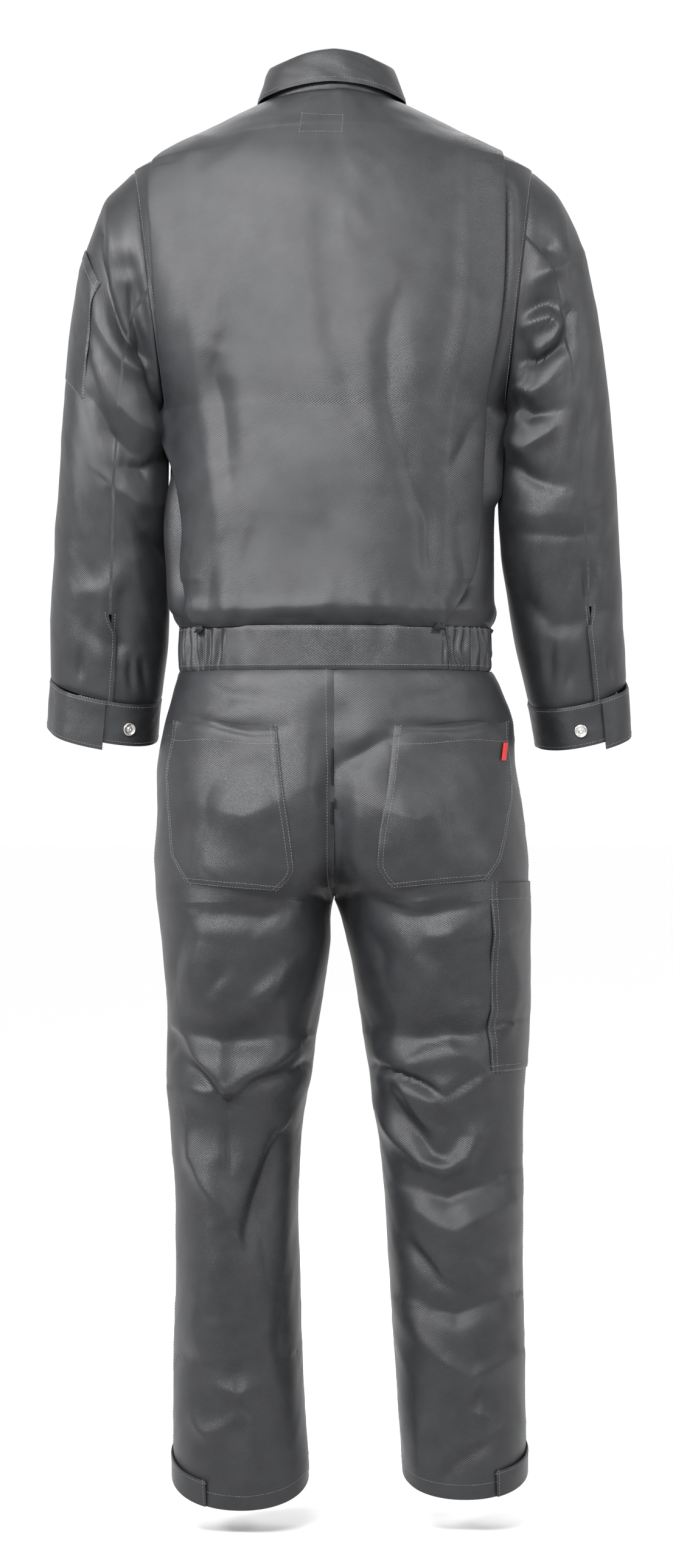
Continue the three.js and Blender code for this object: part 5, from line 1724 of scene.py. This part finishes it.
@dataclass(frozen=True)
class PlainFinish:
    """A finish of one colour, such as thread, metal or the floor."""

    name: str
    colour: tuple[float, float, float]
    roughness: float
    metallic: float = 0.0

    def make(self) -> bpy.types.Material:
        """Builds the material."""
        colour = (*self.colour, 1)
        return shader_of(self.name, Base_Color=colour, Roughness=self.roughness, Metallic=self.metallic)[0]


DARK_GREY = (0.007, 0.0074, 0.0088)
WORN_GREY = (0.016, 0.0166, 0.019)
SUIT_CLOTH = ClothFinish("dark grey twill", DARK_GREY, WORN_GREY)
TRIM_CLOTH = ClothFinish("dark grey trim twill", DARK_GREY, WORN_GREY)
RED_CLOTH = ClothFinish("red cloth", (0.36, 0.012, 0.014), (0.46, 0.02, 0.02), roughness=0.6)
THREAD = PlainFinish("grey thread", (0.12, 0.12, 0.125), 0.55)
SNAP_METAL = PlainFinish("nickel", (0.62, 0.61, 0.59), 0.26, 1.0)


# Stitches


@dataclass
class StitchTree:
    """A tree of nodes that lays stitches along lines.

    Args:
        pitch: from one stitch to the next.
        length: of a stitch.
        width: of the thread.
    """

    pitch: float = 3.4
    length: float = 2.5
    width: float = 0.55

    def build(self) -> bpy.types.NodeTree:
        """Builds the tree.

        Returns:
            The node group.
        """
        tree = bpy.data.node_groups.new("stitches", "GeometryNodeTree")
        face = tree.interface
        face.new_socket("Geometry", in_out="INPUT", socket_type="NodeSocketGeometry")
        for name in ("Pitch", "Length", "Width"):
            face.new_socket(name, in_out="INPUT", socket_type="NodeSocketFloat")
        face.new_socket("Thread", in_out="INPUT", socket_type="NodeSocketMaterial")
        face.new_socket("Geometry", in_out="OUTPUT", socket_type="NodeSocketGeometry")
        given, result = add_node(tree, "NodeGroupInput"), add_node(tree, "NodeGroupOutput")
        curve = add_node(tree, "GeometryNodeMeshToCurve")
        even = add_node(tree, "GeometryNodeResampleCurve", mode="LENGTH")
        tangent = add_node(tree, "GeometryNodeInputTangent")
        turn = add_node(tree, "FunctionNodeAlignEulerToVector", axis="Z")
        thread = add_node(tree, "GeometryNodeMeshCylinder", {"Vertices": 4}, fill_type="NGON")
        half = add_node(tree, "ShaderNodeMath", {1: 0.5}, operation="MULTIPLY")
        place = add_node(tree, "GeometryNodeInstanceOnPoints")
        uneven = {2: 0.85, 3: 1.1, "Seed": 7}
        tilt = add_node(tree, "FunctionNodeRandomValue", uneven, data_type="FLOAT")
        real = add_node(tree, "GeometryNodeRealizeInstances")
        finish = add_node(tree, "GeometryNodeSetMaterial")
        join(
            tree,
            (given, "Geometry", curve, "Mesh"),
            (curve, "Curve", even, "Curve"),
            (given, "Pitch", even, "Length"),
            (tangent, "Tangent", turn, "Vector"),
            (given, "Width", half, 0),
            (half, 0, thread, "Radius"),
            (given, "Length", thread, "Depth"),
            (even, "Curve", place, "Points"),
            (thread, "Mesh", place, "Instance"),
            (turn, "Rotation", place, "Rotation"),
            (tilt, 1, place, "Scale"),
            (place, "Instances", real, "Geometry"),
            (real, "Geometry", finish, "Geometry"),
            (given, "Thread", finish, "Material"),
            (finish, "Geometry", result, "Geometry"),
        )
        return tree

    def values(self) -> dict[str, float]:
        """The tree's sizes in metres, by the names of its inputs."""
        return {"Pitch": self.pitch * MM, "Length": self.length * MM, "Width": self.width * MM}


def stitched(
    name: str, lines: list[Array], tree: bpy.types.NodeTree, sizes: StitchTree, thread: bpy.types.Material
) -> bpy.types.Object:
    """Stitches along lines as one plain mesh.

    Args:
        name: the piece's name.
        lines: the lines of points, in millimetres.
        tree: the tree that lays them.
        sizes: its sizes.
        thread: their finish.

    Returns:
        The new object.
    """
    points = np.concatenate(lines) * MM
    edges, start = [], 0
    for line in lines:
        edges += [(start + k, start + k + 1) for k in range(len(line) - 1)]
        start += len(line)
    guide = bpy.data.meshes.new(f"{name} line")
    guide.from_pydata(points.tolist(), edges, [])
    carrier = placed(f"{name} line", guide)
    modifier = carrier.modifiers.new("stitches", "NODES")
    modifier.node_group = tree
    values = {**sizes.values(), "Thread": thread}
    for item in tree.interface.items_tree:
        if item.in_out == "INPUT" and item.name in values:
            modifier[item.identifier] = values[item.name]
    bpy.context.view_layer.update()
    graph = bpy.context.evaluated_depsgraph_get()
    mesh = bpy.data.meshes.new_from_object(carrier.evaluated_get(graph))
    bpy.data.objects.remove(carrier)
    mesh.name = name
    mesh.shade_smooth()
    return placed(name, mesh)


# The garment


STITCH_STAND = 0.12
LABEL = ((36, -10), (-8, -12), (-8, -30), (39, -30), (36, -10))


@dataclass
class Wardrobe:
    """Args:
        finishes: the materials by slot.
        thread: the finish of the stitches.
        tree: the tree that lays stitches.
        stitch: the sizes of a stitch.
        grids: the creased panels made so far.
    """

    finishes: dict[str, bpy.types.Material]
    thread: bpy.types.Material
    tree: bpy.types.NodeTree
    stitch: StitchTree
    grids: dict[str, Grid] = field(default_factory=dict)

    def sew(
        self,
        name: str,
        pair: tuple[Grid, Grid],
        slot: str = "suit_cloth",
        hold: Hold = Hold.DRAPED,
        rests_on: tuple[str, ...] = (),
        thickness: float = SHELL,
        sewn: tuple[str, ...] = (),
    ) -> None:
        """Makes one cloth piece.

        Args:
            name: the piece, named as its solid.
            pair: the panel on its plain form, which gives the cut, and the creased one.
            slot: which of the finishes it takes.
            hold: how it is held; not used.
            rests_on: what it lies on; not used.
            thickness: of the cloth, in millimetres.
            sewn: the edges that have a seam allowance inside.
        """
        plain, creased = pair
        self.grids[name] = creased
        creased = creased.with_allowance(sewn, ALLOWANCE)
        thing = cloth_object(f"{name}_cloth", creased, self.finishes[slot], thickness)
        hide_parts(name)
        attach(thing, BODY)
        across, down = plain.across(), plain.down()
        width, length = max(float(across[:, -1].max()), SMALLEST), float(down[-1].max())
        area = min(plain.area(), width * length)
        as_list(rests_on)
        log.info("%s: %.0f by %.0f mm, %d faces", name, width, length, len(thing.data.polygons))

    def topstitch(self, name: str, lines: list[Array]) -> None:
        """Makes the stitches of one piece.

        Args:
            name: the piece that they are on.
            lines: where they run.
        """
        thing = stitched(f"{name}_stitches", lines, self.tree, self.stitch, self.thread)
        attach(thing, BODY)
        log.info("%s stitches: %d faces", name, len(thing.data.polygons))

    def along(self, name: str, edge: str, inset: float, part: tuple[float, float] = (0.0, 1.0)) -> Array:
        """A stitch line inside one edge of a piece.

        Args:
            name: the piece.
            edge: which edge.
            inset: the distance from it.
            part: from which share of the edge to which.

        Returns:
            The line.
        """
        points, out = self.grids[name].inside(edge, inset)
        last = len(points) - 1
        return (points + out * STITCH_STAND)[int(part[0] * last) : int(part[1] * last) + 1]

    def rows(self, name: str, edges: tuple[str, ...], *insets: float) -> list[Array]:
        """Stitch lines inside several edges of a piece, at each inset."""
        return [self.along(name, edge, inset) for edge in edges for inset in insets]


@dataclass
class UpperPart:
    """The bodice: centre back, side backs, fronts and the closure strip."""

    wardrobe: Wardrobe
    seam_inset: float = 4.0
    placket_inset: float = 5.0
    shoulder_inset: float = 16.0

    def build(self) -> None:
        """Makes the pieces and their stitches."""
        sew, rows, topstitch = self.wardrobe.sew, self.wardrobe.rows, self.wardrobe.topstitch
        sew("back_centre", back_panel(), sewn=ROWS)
        for side in Side:
            strip = f"back_side_{side.word}"
            sew(strip, back_strip(side), sewn=("first_row", "last_column"))
            sew(f"front_{side.word}", front_panel(side), sewn=(*ROWS, "last_column"))
            topstitch(strip, rows(strip, ("last_column",), self.seam_inset))
        sew("front_placket", placket(), rests_on=("front_left_cloth", "front_right_cloth"), hold=Hold.LAID)
        topstitch("front_placket", rows("front_placket", COLUMNS, self.placket_inset))
        self.shoulders()
        self.label()

    def shoulders(self) -> None:
        """Stitches behind the shoulder seams."""
        grid = self.wardrobe.grids["back_centre"]
        top = int(np.searchsorted(bodice_rows(), PLEAT_TOP)) + 2
        lines = []
        for edge in COLUMNS:
            points, out = grid.inside(edge, self.shoulder_inset)
            lines.append((points + out * STITCH_STAND)[top:])
        self.wardrobe.topstitch("back_centre", lines)

    def label(self) -> None:
        """The stitches that hold a label inside the upper back, which show outside."""
        grid = self.wardrobe.grids["back_centre"]
        flat = np.stack(VIEW.flat(grid.points), -1).reshape(-1, 2)
        facing = grid.normals.reshape(-1, 3)[:, 1] > 0.05
        share = np.linspace(0, 1, 12)[:, None]
        lines = []
        for a, b in zip(LABEL[:-1], LABEL[1:]):
            target = np.array(a) * (1 - share) + np.array(b) * share
            points = []
            for spot in target:
                near = ((flat - spot) ** 2).sum(-1) + np.where(facing, 0, 1e9)
                nearest = np.argsort(near)[:6]
                weight = 1 / (near[nearest] + 0.05)
                points.append((grid.points.reshape(-1, 3)[nearest] * weight[:, None]).sum(0) / weight.sum())
            lines.append(np.array(points) + np.array([0, 0.25, 0.1]))
        self.wardrobe.topstitch("back_label", lines)


@dataclass
class Neck:
    """The collar."""

    wardrobe: Wardrobe
    inset: float = 5.0

    def build(self) -> None:
        """Makes the stand, the fall and its stitches."""
        self.wardrobe.sew("collar_stand", collar_stand(), "trim_cloth")
        self.wardrobe.sew("collar_fall", collar_fall(), "trim_cloth", Hold.FOLDED, ("collar_stand_cloth",))
        self.wardrobe.topstitch("collar_fall", [self.wardrobe.along("collar_fall", "last_row", self.inset)])


@dataclass
class Arms:
    """The sleeves, their cuffs and the pen pocket."""

    wardrobe: Wardrobe
    slit_inset: float = 4.0
    cuff_inset: float = 3.5
    pocket_inset: float = 2.0
    pocket_hem: float = 10.0

    def build(self) -> None:
        """Makes the pieces and their stitches."""
        sew, along, rows = self.wardrobe.sew, self.wardrobe.along, self.wardrobe.rows
        for side in Side:
            sleeve, cuff = f"sleeve_{side.word}", f"cuff_{side.word}"
            sew(sleeve, sleeve_panel(side), sewn=("first_row",))
            sew(cuff, cuff_panel(side), "trim_cloth", thickness=DOUBLE_SHELL)
            slit = [along(sleeve, edge, self.slit_inset, (SLIT_FROM, 1.0)) for edge in COLUMNS]
            self.wardrobe.topstitch(sleeve, slit)
            self.wardrobe.topstitch(cuff, rows(cuff, (*ROWS, "first_column"), self.cuff_inset))
        sew("pen_pocket", pen_pocket(), hold=Hold.LAID, rests_on=("sleeve_left_cloth",))
        lines = rows("pen_pocket", POCKET_EDGES, self.pocket_inset)
        self.wardrobe.topstitch("pen_pocket", lines + rows("pen_pocket", ("first_row",), self.pocket_hem))


@dataclass
class Waist:
    """The waistband with its gathered stretches."""

    wardrobe: Wardrobe
    top_inset: float = 3.0
    low_inset: float = 5.5

    def build(self) -> None:
        """Makes the pieces and their stitches."""
        pieces = [("waistband_back", waistband_back(), Hold.DRAPED)]
        for side in Side:
            pieces.append((f"elastic_{side.word}", elastic(side), Hold.GATHERED))
            pieces.append((f"waistband_front_{side.word}", waistband_front(side), Hold.DRAPED))
        for name, pair, hold in pieces:
            self.wardrobe.sew(name, pair, "trim_cloth", hold, thickness=DOUBLE_SHELL, sewn=ROWS)
            along = self.wardrobe.along
            lines = [along(name, "first_row", self.top_inset), along(name, "last_row", self.low_inset)]
            self.wardrobe.topstitch(name, lines)


@dataclass
class Trousers:
    """The legs with their pockets and ankle tabs."""

    wardrobe: Wardrobe
    seam_inset: float = 4.0
    seat_inset: float = 9.0
    hem_inset: float = 16.5
    tab_inset: float = 3.0
    tool_insets: tuple[float, float] = (2.0, 8.0)
    tool_hem: float = 18.0
    hip_insets: tuple[float, float] = (1.6, 7.4)
    hip_hem: float = 21.0

    def build(self) -> None:
        """Makes the pieces and their stitches."""
        sew, along, rows = self.wardrobe.sew, self.wardrobe.along, self.wardrobe.rows
        topstitch = self.wardrobe.topstitch
        for side in Side:
            back, front = f"leg_back_{side.word}", f"leg_front_{side.word}"
            for name, facing in ((back, Facing.BACK), (front, Facing.FRONT)):
                sew(name, leg_panel(side, facing), sewn=("first_row", *COLUMNS))
            lines = [along(back, "first_column", self.seam_inset), along(back, "last_row", self.hem_inset)]
            if side is Side.LEFT:
                lines.append(along(back, "last_column", self.seat_inset, (0.0, 0.29)))
            topstitch(back, lines)
            topstitch(front, [along(front, "last_row", self.hem_inset)])
            self.pocket(side)
            tab = f"ankle_tab_{side.word}"
            sew(tab, ankle_tab(side), hold=Hold.LAID, rests_on=(f"{back}_cloth",))
            topstitch(tab, rows(tab, ("first_column", "first_row", "last_column"), self.tab_inset))
        sew("tool_pocket", tool_pocket(), hold=Hold.LAID, rests_on=("leg_back_right_cloth",))
        lines = rows("tool_pocket", POCKET_EDGES, *self.tool_insets)
        topstitch("tool_pocket", lines + rows("tool_pocket", ("first_row",), self.tool_hem))
        sew("red_tab", red_tab(), "red_cloth", Hold.LAID, ("pocket_hip_right_cloth",), thickness=THIN_SHELL)

    def pocket(self, side: Side) -> None:
        """Makes one hip pocket.

        Args:
            side: the wearer's side.
        """
        name = f"pocket_hip_{side.word}"
        self.wardrobe.sew(name, hip_pocket(side), hold=Hold.LAID, rests_on=(f"leg_back_{side.word}_cloth",))
        lines = self.wardrobe.rows(name, POCKET_EDGES, *self.hip_insets)
        self.wardrobe.topstitch(name, lines + self.wardrobe.rows(name, ("first_row",), self.hip_hem))


@dataclass
class Snap:
    """A metal snap fastener on a cuff.

    Args:
        finish: its metal.
        radius: its outer radius, in millimetres.
        height: of its rim.
        around: how many points round it.
        turn: how far from the slit, in degrees.
        share: how far along the arm.
        stand: how far off the cuff.
    """

    finish: bpy.types.Material
    radius: float = 7.5
    height: float = 2.6
    around: int = 40
    turn: float = 24.0
    share: float = 1.05
    stand: float = 0.35

    def outline(self) -> tuple[tuple[float, float], ...]:
        """Radius and height along its section, from the foot to the middle of the post."""
        r, h = self.radius, self.height
        foot = ((0, 0), (r - 0.5, 0), (r - 0.1, 0.35), (r, 0.9), (r - 0.1, 1.6))
        rim = ((r - 0.35, 2.2), (r - 0.8, h), (r - 1.3, h), (r - 1.75, 2.25), (r - 2.1, 1.6))
        hollow = ((r - 2.5, 1.2), (3.1, 1.1), (2.7, 1.2), (2.5, 1.6))
        post = ((2.3, 2.2), (1.9, h), (1.2, h - 0.05), (0.8, 2.0), (0, 1.9))
        return foot + rim + hollow + post

    def build(self, side: Side) -> None:
        """Makes the snap on one cuff.

        Args:
            side: the wearer's side.
        """
        around = SLIT[side] + self.turn
        share = self.share + np.array([-0.004, 0.0, 0.004])
        near = sleeve_grid(side, share, around + np.array([[-1.0, 0.0, 1.0]]), closed=False)
        out = near.normals[1, 1]
        place = near.points[1, 1] + out * (cuff_lift(side, np.array([around]))[0] + self.stand)
        first = unit(np.cross(out, UP))
        second = np.cross(out, first)
        section = self.outline()
        points, faces = [place], []
        turns = (np.arange(self.around) * 2 * math.pi / self.around)[:, None]
        circle = np.cos(turns) * first + np.sin(turns) * second
        for r, h in section[1:-1]:
            points += list(place + out * h + r * circle)
        points.append(place + out * section[-1][1])
        n, rings = self.around, len(section) - 2
        starts = [1 + i * n for i in range(rings)]
        for k in range(n):
            m = (k + 1) % n
            faces.append((0, 1 + m, 1 + k))
            faces += [(a + k, a + m, b + m, b + k) for a, b in zip(starts[:-1], starts[1:])]
            faces.append((len(points) - 1, starts[-1] + k, starts[-1] + m))
        mesh = bpy.data.meshes.new(f"snap_{side.word}")
        mesh.from_pydata((np.array(points) * MM).tolist(), [], faces)
        mesh.validate()
        mesh.materials.append(self.finish)
        mesh.shade_smooth()
        thing = placed(f"snap_{side.word}_metal", mesh)
        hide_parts(f"snap_{side.word}")
        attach(thing, BODY)


# The studio


@dataclass
class Studio:
    """The floor, the lights and the camera.

    Args:
        floor: the level of the floor, in metres.
        reach: how far it goes each way.
        air: how bright the surroundings are.
        beam: how wide the beams from behind are, in degrees.
        sensor: the camera's sensor, in millimetres.
    """

    floor: float = -1.612
    reach: float = 60.0
    air: float = 1.03
    beam: float = 52.0
    sensor: float = 36.0

    def ground(self) -> None:
        """The pale floor, with nothing round it, so the garment shows from every side."""
        signs = ((-1, -1), (1, -1), (1, 1), (-1, 1))
        corners = [(x * self.reach, y * self.reach, self.floor) for x, y in signs]
        mesh = bpy.data.meshes.new("studio floor")
        mesh.from_pydata(corners, [], [(0, 1, 2, 3)])
        mesh.materials.append(PlainFinish("studio paper", (0.96, 0.96, 0.96), 1.0).make())
        placed("studio floor", mesh)

    def light(
        self,
        name: str,
        place: tuple[float, float, float],
        target: tuple[float, float, float],
        size: tuple[float, float],
        power: float,
        spread: float = 180,
    ) -> None:
        """One soft light.

        Args:
            name: what it is called.
            place: where it stands.
            target: what it points at.
            size: its width and height.
            power: in watts.
            spread: how wide its beam is, in degrees.
        """
        data = bpy.data.lights.new(name, "AREA")
        data.spread = spread * DEGREE
        data.shape = "RECTANGLE"
        data.size, data.size_y = size
        data.energy = power
        thing = placed(name, data)
        thing.location = place
        way = Vector(target) - Vector(place)
        thing.rotation_euler = way.to_track_quat("-Z", "Y").to_euler()

    def lights(self) -> None:
        """The soft lights and the pale surroundings."""
        world = bpy.data.worlds.new("studio air")
        world.use_nodes = True
        air = world.node_tree.nodes["Background"]
        air.inputs["Color"].default_value = (1, 1, 1, 1)
        air.inputs["Strength"].default_value = self.air
        bpy.context.scene.world = world
        self.light("key light", (0.7, 2.8, 1.1), (0.0, 0.0, -0.42), (2.0, 0.6), 19.5, self.beam)
        self.light("high light", (0.3, 1.2, 2.6), (0.0, 0.0, -0.7), (1.2, 1.0), 2, 70)
        self.light("side light", (-2.5, 1.9, 0.7), (-0.1, 0.0, -0.5), (0.8, 0.6), 4.6, self.beam)
        self.light("other side light", (2.5, 1.9, 0.7), (0.1, 0.0, -0.5), (0.8, 0.6), 11, self.beam)
        self.light("front light", (0.0, -1.9, 1.6), (0.0, -0.2, -0.9), (1.6, 1.2), 25)

    def camera(self) -> None:
        """The camera, level and straight behind the garment."""
        data = bpy.data.cameras.new("camera")
        data.sensor_fit = "AUTO"
        data.sensor_width = self.sensor
        data.lens = self.sensor * VIEW.distance / VIEW.frame_height
        data.clip_end = self.reach
        thing = placed("camera", data)
        thing.location = (VIEW.x * MM, VIEW.distance * MM, VIEW.z * MM)
        thing.rotation_euler = (math.pi / 2, 0, math.pi)
        bpy.context.scene.camera = thing

    def build(self) -> None:
        """Makes all of it."""
        bpy.context.scene.view_settings.view_transform = "Standard"
        self.ground()
        self.lights()
        self.camera()


def main() -> None:
    """Builds the boiler suit and its studio."""
    logging.basicConfig(level=logging.INFO, format="%(name)s: %(message)s")
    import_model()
    cloth = SUIT_CLOTH.make()
    finishes = {"suit_cloth": cloth, "trim_cloth": TRIM_CLOTH.make(), "red_cloth": RED_CLOTH.make()}
    stitch = StitchTree()
    wardrobe = Wardrobe(finishes, THREAD.make(), stitch.build(), stitch)
    for part in (UpperPart, Neck, Arms, Waist, Trousers):
        part(wardrobe).build()
    snap = Snap(SNAP_METAL.make())
    for side in Side:
        snap.build(side)
    Studio().build()


if __name__ == "__main__":
    main()
